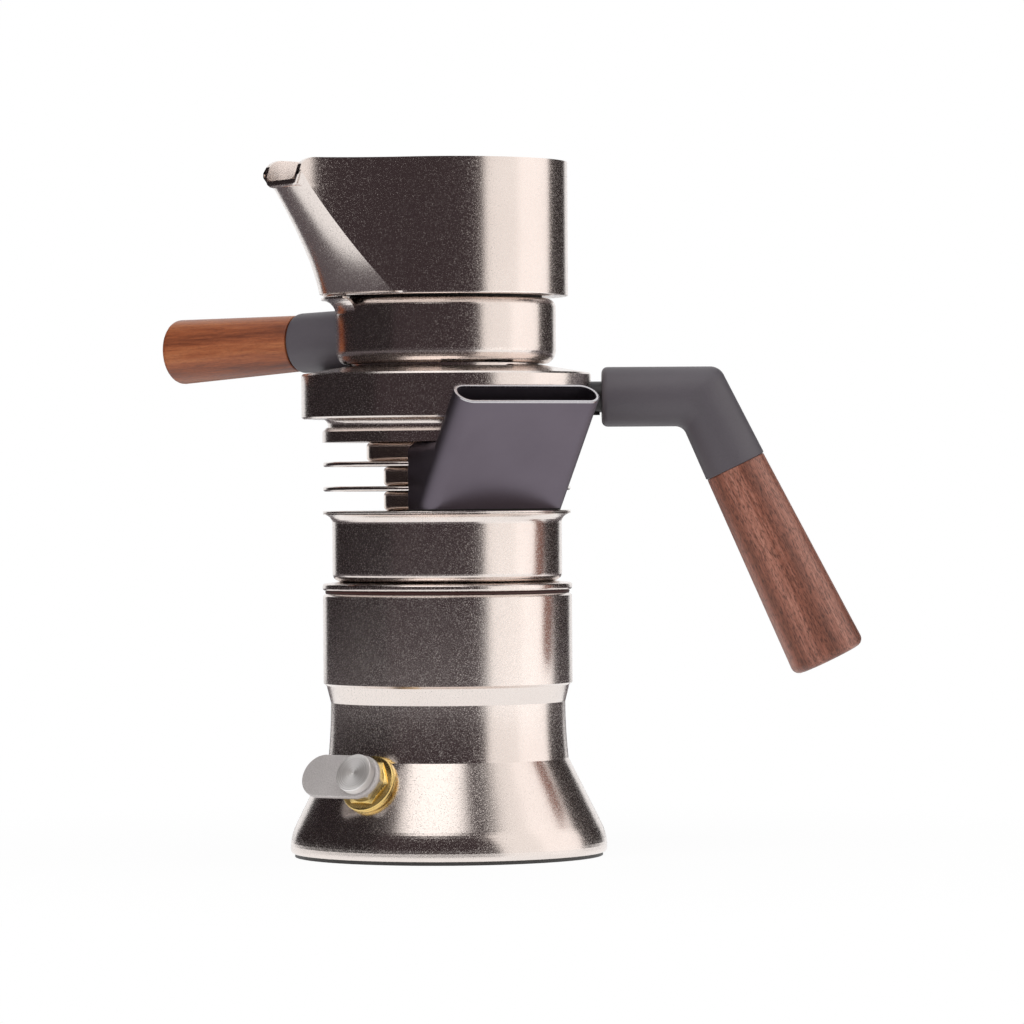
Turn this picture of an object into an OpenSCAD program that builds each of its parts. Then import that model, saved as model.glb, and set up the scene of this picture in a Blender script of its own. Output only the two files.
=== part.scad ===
// Stovetop espresso maker: a flared pressure boiler, a second boiler with cooling fins and a
// fill duct above it, a group head with a bayonet, and an upward portafilter with a pouring jug.
// Millimetres, +Z up. The origin is the centre of the base plate's underside.
// Azimuths count from +X towards +Y; the front faces -Y.

/* [Base boiler] */
// Widest diameter of the flared foot
base_d = 120.2; // [114:0.2:126]
// Height at which the upright foot would meet the flare
foot_h = 7.9; // [7:0.1:9]
// Radius that blends the foot into the flare
foot_blend = 20; // [10:1:20]
// Radius of the lower foot edge
foot_edge = 1.6; // [0.6:0.2:1.6]
// Height of the crease between flare and neck
flare_h = 37; // [35:0.5:41]
// Height of the waisted neck above the crease
neck_h = 27.8; // [24:0.2:32]
// Depth of the waist in the neck
neck_sag = 1.1; // [0.4:0.1:1.4]
// Height of the cone between the neck and the collar
cone_h = 6.4; // [5:0.2:8]
// How far the cone's upper edge stands out past the crease
cone_reach = 0.5; // [0.2:0.1:0.8]
// Step from the neck out to the collar
collar_step = 1.7; // [1.2:0.1:2.2]
// Diameter of the collar that takes the upper boiler
collar_d = 94.6; // [92.4:0.2:98]
// Height of the collar
collar_h = 33.9; // [30:0.1:38]
// Wall of the base boiler at the waist
boiler_wall = 3.6; // [2.6:0.1:4]
// Floor of the base boiler
boiler_floor = 5; // [3.6:0.2:6]
// Height of the chamfers below the collar and at its rim
rim_chamfer = 0.9; // [0.5:0.1:1.2]

/* [Base plate] */
// Thickness of the plate below the foot
plate_t = 1.2; // [0.8:0.1:2]
// Diameter of the plate's locating spigot
spigot_d = 96; // [80:1:104]
// Height of the plate's locating spigot
spigot_h = 2; // [1:0.2:2.4]

/* [Screw joint and seal] */
// Diameter of the thread bore in the collar
thread_d = 84; // [83:0.2:86]
// Length of the thread
thread_len = 19; // [14:0.5:24]
// Wall of the threaded skirt
skirt_wall = 5; // [3:0.2:6]
// Thickness of the seal between the boilers
seal_t = 1.3; // [1:0.1:2]
// Width of the seal's section
seal_w = 3.8; // [2.4:0.1:4]

/* [Upper boiler] */
// Diameter of the clamping flange
flange_d = 94.8; // [93:0.2:98]
// Thickness of the clamping flange
flange_t = 2.6; // [2:0.1:4]
// Depth of the groove above the flange
flange_groove = 0.8; // [0.4:0.1:1.2]
// Outer diameter of the upper boiler
upper_d = 87.2; // [85:0.2:89]
// Height from the flange to the lid
upper_h = 26.5; // [24:0.5:32]
// Wall of the upper boiler
upper_wall = 3.4; // [2:0.2:4]
// Thickness of the floor between the boilers
upper_floor = 6.6; // [5:0.2:8]
// Radius of the upper boiler's lower edge
upper_edge = 3; // [1.5:0.5:4]
// Diameter of the lid
lid_d = 94.2; // [92:0.2:97]
// Thickness of the lid
lid_t = 1; // [0.8:0.1:2]

/* [Cooling stack] */
// Diameter of the lower and middle spacers
spacer_d = 48; // [44:0.5:48]
// Diameter of the upper spacer
crown_spacer_d = 60.8; // [54:0.2:64]
// Height of each spacer
spacer_h = 7.4; // [6:0.1:9]
// Diameter of the cooling fins
fin_d = 94; // [90:0.5:100]
// Thickness of a cooling fin
fin_t = 1.9; // [1.2:0.1:2.6]
// Radius of the spacers' edges
spacer_edge = 1.8; // [0.6:0.2:2.6]
// Outer diameter of the riser tube
riser_d = 12; // [9:0.5:14]
// Wall of the riser tube
riser_wall = 2; // [1:0.1:2.4]

/* [Group head] */
// Diameter of the plate below the group head
group_plate_d = 94.2; // [92:0.2:98]
// Thickness of the plate below the group head
group_plate_t = 5.5; // [4.5:0.1:7]
// Diameter of the neck between plate and group head
group_neck_d = 90; // [86:0.5:91]
// Radius of the cove between that neck and the group head
group_cove = 2.6; // [2:0.1:3]
// Height of neck and cove to the group head's rim
group_neck_h = 4; // [3.6:0.1:5]
// Diameter of the group head
group_d = 110; // [106:0.5:116]
// Height of the group head's rim
group_h = 16.3; // [15:0.1:20]
// Rise of the group head's conical top
group_crown_h = 3.2; // [2:0.1:4]
// Floor under the bayonet socket
socket_floor = 9; // [8:0.2:10]
// Thickness of the group seal
group_seal_t = 3; // [2:0.1:4]
// Depth of the lip that holds the bayonet lugs
lip_h = 7; // [5:0.2:8]

/* [Portafilter] */
// Diameter of the portafilter ring
ring_d = 83.6; // [81:0.2:88]
// Height of the portafilter ring above the group head
ring_h = 24.9; // [23:0.1:30]
// Diameter of the spigot that enters the group head
entry_d = 72; // [71:0.2:74]
// Width of the ring's rounded lower edge
ring_under_w = 4.3; // [3:0.1:4.6]
// Height of the ring's rounded lower edge
ring_under_h = 5.4; // [4:0.1:6]
// Width of the ring's rounded top edge
ring_round_w = 4.2; // [3:0.2:6]
// Height of the ring's rounded top edge
ring_round_h = 3.6; // [1.5:0.1:4]
// Thickness of the ring's top wall
ring_top_t = 6.3; // [4:0.1:7]
// How far a bayonet lug stands out
lug_reach = 4.2; // [3:0.1:5]
// Height of a bayonet lug
lug_h = 3; // [2:0.1:3.6]
// Angle that one lug covers
lug_angle = 38; // [28:1:40]
// Number of bayonet lugs
lug_count = 3; // [2:1:3]
// Turn between locked and free
twist_angle = 50; // [48:1:56]
// Inner diameter of the filter basket
basket_d = 59.2; // [57:0.2:60]
// Sheet thickness of the filter basket
basket_t = 0.8; // [0.5:0.1:1]
// Depth of the filter basket
basket_h = 25; // [22:0.5:26]
// Gap between the filter basket and the ring's bore
basket_gap = 0.6; // [0.4:0.05:0.8]
// Width of the filter basket's rim
basket_rim_w = 3.6; // [2.4:0.1:3.8]
// Wire diameter of the clip that holds the basket
clip_wire = 1.2; // [0.8:0.1:1.4]

/* [Jug] */
// Outer diameter of the jug
jug_d = 93; // [90:0.5:98]
// Height of the jug
jug_h = 50.8; // [46:0.2:60]
// Wall of the jug and its spout
jug_wall = 2; // [1.4:0.1:2.6]
// Floor of the jug
jug_floor = 2.5; // [1.5:0.1:4]
// Thickness of the seal under the jug
jug_seal_t = 0.7; // [0.5:0.1:1.5]
// Azimuth of the spout
spout_azimuth = 210; // [195:1:225]
// Distance of the spout's lip from the jug's axis
spout_reach = 70.3; // [66:0.5:76]
// Outer width of the lip
lip_w = 28.2; // [24:0.2:32]
// Height of the lip
lip_depth = 10.6; // [9:0.2:13]
// Radius of the lip's upper front corners
lip_round = 8; // [5:0.5:8]
// Height above the jug's underside at which the spout begins
spout_low = 4.9; // [3.6:0.1:7]
// Angle from the spout at which its flanks leave the jug's wall
spout_spread = 45; // [41:1:49]
// How far the lip overhangs the spout
lip_throat = 4.8; // [3.6:0.1:5.6]
// Outer diameter of the coffee column
column_d = 10; // [8:0.5:12]
// Wall of the coffee column
column_wall = 1.8; // [1:0.1:2]
// Height of the coffee column above the jug's floor
column_h = 33; // [24:0.5:40]

/* [Main handle] */
// Height of the handle above the underside of the group head's rim
handle_rise = 7.2; // [7:0.1:9]
// Diameter of the dark stud between group head and handle
stud_d = 11.8; // [9:0.2:12.4]
// Length of stud that shows
stud_gap = 4; // [2:0.2:8]
// Diameter of the grey elbow
elbow_d = 22.7; // [20:0.1:25]
// Diameter of the elbow where it meets the grip
elbow_end_d = 24.2; // [20:0.1:26]
// Length of the elbow's level arm, to the bend
elbow_arm = 37.8; // [30:0.2:44]
// Length of the elbow's falling arm, from the bend
elbow_drop = 29.5; // [24:0.5:36]
// Lean of the falling arm from upright
handle_lean = 25.7; // [18:0.1:34]
// Length of the wooden grip
grip_len = 81.6; // [60:0.2:90]
// Diameter of the grip where it meets the elbow
grip_root_d = 23.6; // [20:0.1:25]
// Diameter of the grip at its end
grip_end_d = 29.4; // [26:0.1:34]
// Diameter of the tie rod in the grips
rod_d = 8; // [5:0.5:9]

/* [Side handle] */
// Azimuth of the side handle
side_azimuth = 150; // [135:1:160]
// Height of the side handle's axis above the ring's underside
side_rise = 12; // [12:0.1:13]
// Fall of the side handle below level
side_fall = 2.5; // [0:0.5:3]
// Diameter of the grey ferrule
ferrule_d = 23; // [20:0.1:23]
// Length of the ferrule from the ring
ferrule_len = 24; // [18:0.5:30]
// Length of the side grip
side_grip_len = 56.4; // [44:0.2:64]
// Diameter of the side grip at the ferrule
side_root_d = 21.6; // [18:0.1:22.6]
// Diameter of the side grip at its end
side_end_d = 25.2; // [20:0.1:26]

/* [Fill duct] */
// Azimuth of the duct
duct_azimuth = 300; // [295:1:306]
// Width of the flat oval duct
duct_w = 61; // [54:0.5:64]
// Depth of the flat oval duct
duct_t = 11.5; // [10:0.1:14]
// Wall of the duct
duct_wall = 1.2; // [0.8:0.1:1.6]
// Lean of the duct from upright
duct_lean = 35; // [30:0.1:36]
// Height of the duct's mouth above the lid, at its middle
duct_h = 43.4; // [38:0.2:43.6]
// Thickness of the seal under the duct
duct_seal_t = 0.6; // [0.4:0.1:1.2]
// Width of the port in the lid under the duct
port_w = 30; // [20:0.5:32]
// Radius of the upper corners of the duct's foot
duct_foot_round = 4; // [2:0.5:6]
// Gap between the duct's side and the cut in the fins
fin_gap = 3.8; // [2:0.2:5]

/* [Safety valve] */
// Azimuth of the safety valve
valve_azimuth = 235; // [225:1:250]
// Height of the valve's axis on the flare
valve_h = 28.8; // [26:0.2:30]
// Diameter of the brass bush's flange
bush_d = 20; // [17:0.2:22]
// Thickness of the bush's flange and hexagon
bush_t = 3.6; // [3:0.1:5]
// Diameter of the thread through the boiler wall
bush_thread_d = 11; // [9:0.5:12]
// Width across flats of the steel body
body_af = 14; // [12.4:0.2:15]
// Thickness of the steel body
body_t = 2.8; // [2.4:0.1:4]
// Width of the lifting tab
tab_w = 17; // [13:0.2:18]
// Reach of the lifting tab from the valve's axis
tab_reach = 26; // [20:0.5:28]
// Thickness of the lifting tab
tab_t = 2.4; // [1.2:0.1:3]
// Diameter of the pull cap
cap_d = 15; // [12:0.2:17]
// Thickness of the pull cap
cap_t = 3.5; // [2:0.1:5]
// Diameter of the valve's stem
pull_stem_d = 4; // [3:0.1:4.4]

/* [Brew valve and coil] */
// Width across flats of the brew valve
brew_af = 20; // [17:0.5:26]
// Diameter of the brew valve's nipple through the floor
nipple_d = 14; // [12:0.5:18]
// Diameter of the valve ball
ball_d = 6.8; // [6:0.1:7.4]
// Diameter of the dip tube
dip_d = 8; // [6:0.2:9]
// Wall of the dip tube
dip_wall = 1; // [0.6:0.1:1.6]
// Tube diameter of the cooling coil
coil_tube_d = 5; // [4:0.1:5.4]
// Diameter of the cooling coil, on its centre line
coil_d = 58; // [48:0.5:64]
// Wire diameter of the valve springs
spring_wire = 0.6; // [0.5:0.05:0.65]

/* [Clearances] */
// Gap around a piece that stays fixed in its seat
fit_gap = 0.15; // [0.1:0.05:0.2]
// Gap around a piece that turns or slides
run_gap = 0.4; // [0.3:0.05:0.5]
// Gap around a guided stem
guide_gap = 0.1; // [0.08:0.01:0.15]
// Gap between the fill duct and the pieces it passes
duct_gap = 1; // [0.6:0.1:1.4]

/* [Hidden] */
$fn = 96;
eps = 0.01;

// Radii that several pieces share
base_r = base_d / 2;
collar_r = collar_d / 2;
neck_r = collar_r - collar_step;
bore_r = thread_d / 2;
plug_r = bore_r - run_gap;
cavity_r = neck_r - neck_sag - boiler_wall;
flange_r = flange_d / 2;
upper_r = upper_d / 2;
upper_in_r = upper_r - upper_wall;
lid_r = lid_d / 2;
riser_r = riser_d / 2;
group_r = group_d / 2;
entry_r = entry_d / 2;
socket_r = entry_r + run_gap;
lug_r = entry_r + lug_reach;
undercut_r = lug_r + run_gap;
ring_r = ring_d / 2;
basket_r = basket_d / 2 + basket_t;
basket_rim_r = basket_r + basket_rim_w;
ring_bore_r = basket_r + basket_gap;
jug_r = jug_d / 2;
column_r = column_d / 2;

// Levels, from the ground up
z_crease = flare_h;
z_neck_top = z_crease + neck_h;
z_collar = z_neck_top + rim_chamfer;
z_rim = z_collar + collar_h;
z_flange = z_rim + seal_t;
z_flange_top = z_flange + flange_t;
z_body = z_flange_top + flange_groove;
z_lid = z_flange_top + upper_h;
z_stack = z_lid + lid_t;
z_fin_lower = z_stack + spacer_h;
z_spacer_middle = z_fin_lower + fin_t;
z_fin_upper = z_spacer_middle + spacer_h;
z_spacer_upper = z_fin_upper + fin_t;
z_group_plate = z_spacer_upper + spacer_h;
z_group = z_group_plate + group_plate_t;
z_group_rim = z_group + group_neck_h;
z_group_edge = z_group_rim + group_h;
z_group_top = z_group_edge + group_crown_h;
z_socket = z_group + socket_floor;
z_lip = z_group_top - lip_h;
z_basket_rim = z_socket + group_seal_t + run_gap;
z_basket_seat = z_basket_rim + basket_t;
z_lug_top = z_lip - run_gap;
z_ring = z_group_top + run_gap;
z_ring_top = z_ring + ring_h;
z_jug = z_ring_top + jug_seal_t;
z_jug_floor = z_jug + jug_floor;
z_jug_top = z_jug + jug_h;
z_handle = z_group_rim + handle_rise;
z_side = z_ring + side_rise;
z_boiler_floor = plate_t + boiler_floor;
skirt_room = 1;
z_skirt = z_rim - thread_len + skirt_room;

// Points on an oval or round arc in the plane of a turned profile
function oval_arc(cx, cz, rx, rz, from, to, steps = 8) =
    [for (i = [0:steps])
        let (a = from + (to - from) * i / steps) [cx + rx * cos(a), cz + rz * sin(a)]];

function arc(cx, cz, r, from, to, steps = 8) = oval_arc(cx, cz, r, r, from, to, steps);

// Turned solid from a half profile
module turn(points) {
    rotate_extrude() polygon(points);
}

// Turned ring with rounded outer edges
module rounded_ring(r, bore, h, edge) {
    e = min(edge, h / 2 - eps);
    turn(concat(
        [[bore, 0]],
        arc(r - e, e, e, -90, 0),
        arc(r - e, h - e, e, 0, 90),
        [[bore, h]]));
}

// Flat oval, long along Y
module flat_oval(w, t) {
    square([t, w - t], center = true);
    for (side = [-1, 1])
        translate([0, side * (w - t) / 2]) circle(d = t);
}

// Tube swept along a list of points, closed at both ends
module swept_tube(path, r, sides) {
    last = len(path) - 1;
    function heading(i) = let (d = path[min(i + 1, last)] - path[max(i - 1, 0)]) d / norm(d);
    function level(t) = let (c = cross(t, [0, 0, 1])) c / norm(c);
    function ring(i) = let (t = heading(i), u = level(t), v = cross(u, t))
        [for (k = [0:sides - 1])
            let (a = 360 * k / sides) path[i] + r * (cos(a) * u + sin(a) * v)];
    points = [for (i = [0:last]) each ring(i)];
    walls = [for (i = [0:last - 1], k = [0:sides - 1], half = [0, 1])
        let (a = i * sides + k, b = i * sides + (k + 1) % sides)
        half == 0 ? [a, b, b + sides] : [a, b + sides, a + sides]];
    first_cap = [for (k = [1:sides - 2]) [0, k + 1, k]];
    last_cap = [for (k = [1:sides - 2]) [last * sides, last * sides + k, last * sides + k + 1]];
    polyhedron(points, concat(walls, first_cap, last_cap));
}

// Points in each turn of a spring
spring_points = 8;

// Centre line of a compression spring along +Z
function spring_path(r, z0, z1, turns, per_turn = spring_points) =
    [for (i = [0:turns * per_turn]) let (a = 360 * i / per_turn)
        [r * cos(a), r * sin(a), z0 + (z1 - z0) * i / (turns * per_turn)]];

// Least distance between points of a wound path that lie more than half a turn apart, less the wire
function own_gap(path, per_turn, wire) =
    min([for (i = [0:len(path) - 1], j = [i + ceil(per_turn * 0.6):1:len(path) - 1])
        norm(path[i] - path[j])]) - wire;

// Base boiler and its plate
flare_slope = (base_r - neck_r) / (flare_h - foot_h);
flare_angle = atan(flare_slope);
foot_reach = foot_blend * tan(flare_angle / 2);
waist_h = neck_h - cone_h;
neck_arc_r = (pow(waist_h, 2) + pow(neck_sag, 2)) / (2 * neck_sag);
cavity_knee = foot_h + 3;
cavity_foot_r = cavity_r + (flare_h - cavity_knee) * flare_slope;

module boiler_base() {
    color("#8d857f") difference() {
        turn(concat(
            [[0, plate_t]],
            arc(base_r - foot_edge, plate_t + foot_edge, foot_edge, -90, 0),
            arc(base_r - foot_blend, foot_h - foot_reach, foot_blend, 0, flare_angle),
            arc(neck_r - neck_sag + neck_arc_r, z_crease + waist_h, neck_arc_r,
                180 + asin(waist_h / neck_arc_r), 180, 10),
            [[neck_r + cone_reach, z_neck_top],
             [collar_r, z_collar],
             [collar_r, z_rim - rim_chamfer],
             [collar_r - rim_chamfer, z_rim],
             [bore_r, z_rim],
             [bore_r, z_rim - thread_len],
             [cavity_r, z_rim - thread_len - (bore_r - cavity_r)],
             [cavity_r, z_crease],
             [cavity_foot_r, cavity_knee],
             [cavity_foot_r - (cavity_knee - z_boiler_floor), z_boiler_floor],
             [0, z_boiler_floor]]));
        translate([0, 0, plate_t - eps])
            cylinder(d = spigot_d + 2 * fit_gap, h = spigot_h + fit_gap + eps);
        on_valve() {
            translate([0, 0, valve_seat])
                cylinder(r = washer_r + fit_gap, h = bush_t * 3);
            translate([0, 0, -boiler_wall * 3])
                cylinder(d = bush_thread_d + 2 * fit_gap, h = boiler_wall * 4);
        }
    }
}

module base_plate() {
    color("#3a3736") turn([
        [0, 0],
        [base_r - foot_edge, 0],
        [base_r - foot_edge, plate_t],
        [spigot_d / 2, plate_t],
        [spigot_d / 2, plate_t + spigot_h],
        [0, plate_t + spigot_h]]);
}

// Seal between the boilers: it rises with the upper boiler
seal_out_r = collar_r - rim_chamfer;

module base_seal() {
    color("#3a1613") translate([0, 0, z_rim])
        rounded_ring(seal_out_r, seal_out_r - seal_w, seal_t, seal_t / 2);
}

// Upper boiler: a cup with a threaded skirt below and a cove under its lid
cove_r = lid_r - upper_r;
cove_land = 0.3;
flange_edge = 0.9;
groove_r = upper_r - upper_edge - 1;
skirt_in_r = plug_r - skirt_wall;
z_upper_floor = z_flange + upper_floor;
nipple_r = nipple_d / 2;

module upper_boiler() {
    color("#8d857f") difference() {
        turn(concat(
            [[0, z_flange],
             [skirt_in_r, z_flange],
             [skirt_in_r, z_skirt],
             [plug_r, z_skirt],
             [plug_r, z_flange]],
            arc(flange_r - flange_edge, z_flange + flange_edge, flange_edge, -90, 0, 5),
            arc(flange_r - flange_edge, z_flange_top - flange_edge, flange_edge, 0, 90, 5),
            [[groove_r, z_body]],
            arc(upper_r - upper_edge, z_body + upper_edge, upper_edge, -90, 0),
            arc(lid_r, z_lid - cove_land - cove_r, cove_r, 180, 90),
            [[lid_r, z_lid],
             [upper_in_r, z_lid],
             [upper_in_r, z_upper_floor],
             [0, z_upper_floor]]));
        translate([0, 0, z_flange - eps])
            cylinder(r = nipple_r + fit_gap, h = upper_floor + 2 * eps);
    }
}

module upper_lid() {
    color("#a39b94") difference() {
        translate([0, 0, z_lid]) rounded_ring(lid_r, riser_r + fit_gap, lid_t, lid_t * 0.45);
        on_duct() translate([duct_foot_x, 0, z_lid - eps]) linear_extrude(lid_t + 2 * eps)
            flat_oval(port_w, port_t);
    }
}

// Cooling stack
module spacer(d, z) {
    translate([0, 0, z]) rounded_ring(d / 2, riser_r + fit_gap, spacer_h, spacer_edge);
}

module cooling_fin(z) {
    difference() {
        translate([0, 0, z]) rounded_ring(fin_d / 2, riser_r + fit_gap, fin_t, fin_t * 0.45);
        on_duct() translate([duct_back_x - duct_gap / 2, -duct_w / 2 - fin_gap, z - eps])
            cube([fin_d, duct_w + 2 * fin_gap, fin_t + 2 * eps]);
    }
}

module spacer_lower() { color("#8d857f") spacer(spacer_d, z_stack); }
module fin_lower() { color("#a39b94") cooling_fin(z_fin_lower); }
module spacer_middle() { color("#8d857f") spacer(spacer_d, z_spacer_middle); }
module fin_upper() { color("#a39b94") cooling_fin(z_fin_upper); }
module spacer_upper() { color("#8d857f") spacer(crown_spacer_d, z_spacer_upper); }

// Riser from the coil up to the group head
coil_room = 1;
z_riser = z_lid - coil_tube_d - coil_room;
z_riser_top = z_group + socket_floor / 2;

module riser_tube() {
    color("#c8c2bc") translate([0, 0, z_riser]) difference() {
        cylinder(r = riser_r, h = z_riser_top - z_riser);
        translate([0, 0, -eps])
            cylinder(r = riser_r - riser_wall, h = z_riser_top - z_riser + 2 * eps);
    }
}

// Cooling coil: it spirals out from the nipple, climbs and spirals back in to the riser
coil_turns = 3;
coil_rings = 24;
z_coil = z_upper_floor + coil_tube_d / 2 + fit_gap;
z_coil_top = z_lid - coil_tube_d / 2 - coil_room;
coil_in_r = max(nipple_r, riser_r) + coil_tube_d / 2 + fit_gap;
function coil_radius(s) = coil_in_r + (coil_d / 2 - coil_in_r) * sqrt(sin(180 * s));
coil_path = [for (i = [0:coil_turns * coil_rings])
    let (s = i / (coil_turns * coil_rings), r = coil_radius(s), a = 360 * i / coil_rings)
    [r * cos(a), r * sin(a), z_coil + (z_coil_top - z_coil) * s]];
echo("cooling coil, least gap to itself", own_gap(coil_path, coil_rings, coil_tube_d));

module cooling_coil() {
    color("#b98a5e") swept_tube(coil_path, coil_tube_d / 2, 6);
}

// Brew valve under the floor between the boilers, with its dip tube
brew_socket = 3.5;
seat_t = 1.5;
seat_r = ball_d * 0.37;
brew_hex_h = 17;
z_brew = z_flange - brew_hex_h;
z_seat = z_brew + brew_socket + seat_t;
z_ball = z_seat + sqrt(pow(ball_d / 2, 2) - pow(seat_r, 2)) + guide_gap;
z_chamber_top = z_upper_floor;
chamber_r = ball_d / 2 + run_gap;
nipple_h = 2;
dip_r = dip_d / 2;

module brew_valve_body() {
    color("#c9a24f") difference() {
        union() {
            translate([0, 0, z_brew]) cylinder(d = brew_af / cos(30), h = brew_hex_h, $fn = 6);
            translate([0, 0, z_flange - eps]) cylinder(r = nipple_r, h = upper_floor + nipple_h);
        }
        translate([0, 0, z_brew - eps]) cylinder(r = dip_r + fit_gap, h = brew_socket + eps);
        translate([0, 0, z_brew]) cylinder(r = seat_r, h = z_chamber_top + 2 * nipple_h - z_brew);
        translate([0, 0, z_seat]) cylinder(r = chamber_r, h = z_chamber_top - z_seat);
    }
}

module brew_valve_ball() {
    color("#d5d2cf") translate([0, 0, z_ball]) sphere(d = ball_d);
}

brew_spring_r = chamber_r - spring_wire - guide_gap;
brew_spring_reach = (ball_d + spring_wire) / 2 + fit_gap;
brew_spring_path = spring_path(brew_spring_r,
    z_ball + sqrt(pow(brew_spring_reach, 2) - pow(brew_spring_r, 2)),
    z_chamber_top - spring_wire / 2 - guide_gap, 5);
echo("brew valve spring, least gap to itself", own_gap(brew_spring_path, spring_points, spring_wire));

module brew_valve_spring() {
    color("#b9b5b1") swept_tube(brew_spring_path, spring_wire / 2, 6);
}

dip_rise = 4;

module dip_tube() {
    foot = z_boiler_floor + dip_rise;
    color("#c8c2bc") difference() {
        translate([0, 0, foot]) cylinder(r = dip_r, h = z_brew + brew_socket - foot);
        translate([0, 0, foot - eps])
            cylinder(r = dip_r - dip_wall, h = z_brew + brew_socket - foot + 2 * eps);
    }
}

// Fill duct: a flat oval tube that leans outwards from an upright foot on the lid
duct_back_x = spacer_d / 2 + 2 * run_gap;
duct_tuck = 0.6;
duct_foot_x = duct_back_x + duct_t / 2 / cos(duct_lean) - duct_tuck;
port_t = duct_t - 2 * duct_wall - 2 * duct_gap;
z_duct = z_stack + duct_seal_t;
duct_len = (duct_h - duct_seal_t) / cos(duct_lean);
duct_foot_top = z_group_plate - run_gap;

module on_duct() {
    rotate([0, 0, duct_azimuth]) children();
}

// The slanted tube, grown all round by extra, from below the lid to past the mouth
module duct_core(extra, past) {
    below = duct_t;
    translate([duct_foot_x, 0, z_duct]) rotate([0, duct_lean, 0]) translate([0, 0, -below])
        linear_extrude(duct_len + below + past) flat_oval(duct_w + 2 * extra, duct_t + 2 * extra);
}

// Room for the tube in the group, open outwards and upwards
module duct_way() {
    w = duct_w + 2 * duct_gap;
    translate([duct_foot_x, 0, z_duct]) rotate([0, duct_lean, 0]) linear_extrude(2 * duct_len) {
        flat_oval(w, duct_t + 2 * duct_gap);
        translate([0, -w / 2]) square([group_d, w]);
    }
}

// Upright foot behind the tube, with rounded upper corners
module duct_foot() {
    depth = duct_foot_x - duct_back_x;
    r = duct_foot_round;
    half = duct_w / 2;
    top = duct_foot_top;
    outline = concat(
        [[-half, z_duct], [half, z_duct]],
        arc(half - r, top - r, r, 0, 90),
        arc(-half + r, top - r, r, 90, 180));
    reach = depth + (top - z_duct) * tan(duct_lean);
    intersection() {
        translate([duct_back_x, 0, 0]) rotate([90, 0, 90]) linear_extrude(reach) polygon(outline);
        union() {
            duct_core(0, 0);
            translate([duct_foot_x - depth * 2 - duct_t, 0, z_duct]) duct_shadow();
        }
    }
}

// Everything behind the slanted tube's middle plane
module duct_shadow() {
    h = duct_foot_top - z_duct;
    lean = h * tan(duct_lean);
    start = duct_t + 2 * (duct_foot_x - duct_back_x);
    rotate([90, 0, 0]) linear_extrude(duct_w, center = true)
        polygon([[0, 0], [start, 0], [start + lean, h], [0, h]]);
}

module fill_duct() {
    color("#1d1b1d") difference() {
        on_duct() difference() {
            union() {
                duct_core(0, 0);
                duct_foot();
            }
            duct_core(-duct_wall, eps);
            translate([0, -duct_w, z_duct - 4 * duct_t]) cube([2 * group_d, 2 * duct_w, 4 * duct_t]);
        }
        translate([0, 0, z_spacer_upper - run_gap])
            cylinder(d = crown_spacer_d + 2 * run_gap, h = spacer_h + 2 * run_gap);
    }
}

// Seal under the duct's wall and foot
module duct_seal() {
    color("#141314") on_duct() difference() {
        union() {
            intersection() {
                duct_core(0, 0);
                translate([0, -duct_w, z_stack]) cube([group_d, 2 * duct_w, duct_seal_t]);
            }
            translate([duct_back_x, -duct_w / 2, z_stack])
                cube([duct_foot_x - duct_back_x, duct_w, duct_seal_t]);
        }
        duct_core(-duct_wall, eps);
    }
}

// Group head and its plate, cut back for the duct
plate_chamfer = 1.5;

module group_plate() {
    r = group_plate_d / 2;
    color("#8d857f") difference() {
        turn([
            [riser_r + fit_gap, z_group_plate],
            [r, z_group_plate],
            [r, z_group - plate_chamfer],
            [r - plate_chamfer, z_group],
            [riser_r + fit_gap, z_group]]);
        on_duct() duct_way();
    }
}

feed_hole_r = 0.9;
crown_slope = group_crown_h / (group_r - socket_r);
group_edge = 0.6;

slot_angle = lug_angle + 6;

module group_head() {
    color("#8d857f") difference() {
        turn(concat(
            [[0, z_group], [group_neck_d / 2, z_group]],
            arc(group_neck_d / 2 + group_cove, z_group_rim - group_edge - group_cove, group_cove,
                180, 100),
            [[group_r - group_edge, z_group_rim - group_edge],
             [group_r, z_group_rim],
             [group_r, z_group_edge - group_edge],
             [group_r - group_edge, z_group_edge + group_edge * crown_slope],
             [socket_r, z_group_top],
             [socket_r, z_lip],
             [undercut_r, z_lip],
             [undercut_r, z_socket],
             [0, z_socket]]));
        for (k = [0:lug_count - 1])
            rotate([0, 0, 360 * k / lug_count + twist_angle - slot_angle / 2])
                rotate_extrude(angle = slot_angle)
                    translate([entry_r, z_lip - eps]) square([lug_reach + guide_gap * 3, lip_h * 2]);
        translate([0, 0, z_group - eps])
            cylinder(r = riser_r + fit_gap, h = z_riser_top - z_group + eps);
        for (k = [0:3])
            rotate([0, 0, 45 + 90 * k])
                translate([riser_r - riser_wall - feed_hole_r, 0, z_riser_top - feed_hole_r])
                    cylinder(r = feed_hole_r, h = socket_floor);
        translate([0, 0, z_socket - screw_len]) cylinder(r = screw_r + fit_gap, h = socket_floor);
        translate([stud_root, 0, z_handle]) rotate([0, 90, 0])
            cylinder(r = stud_r + fit_gap, h = group_d);
        on_duct() duct_way();
    }
}

group_seal_r = entry_r - 2.4;
group_seal_w = 4.5;
group_seal_edge = 0.4;

module group_seal() {
    color("#221f1e") translate([0, 0, z_socket])
        rounded_ring(group_seal_r, group_seal_r - group_seal_w, group_seal_t, group_seal_edge);
}

// Shower screen: a shallow perforated cup over the water holes
screen_r = group_seal_r - group_seal_w - run_gap;
screen_h = 1.8;
screen_t = 0.7;
screw_r = 1.6;
screw_len = 3.6;
screw_head_t = 1.1;
screw_slot = 0.8;
hole_r = 1;
hole_rings = 3;
hole_spread = 3.6;

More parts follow.
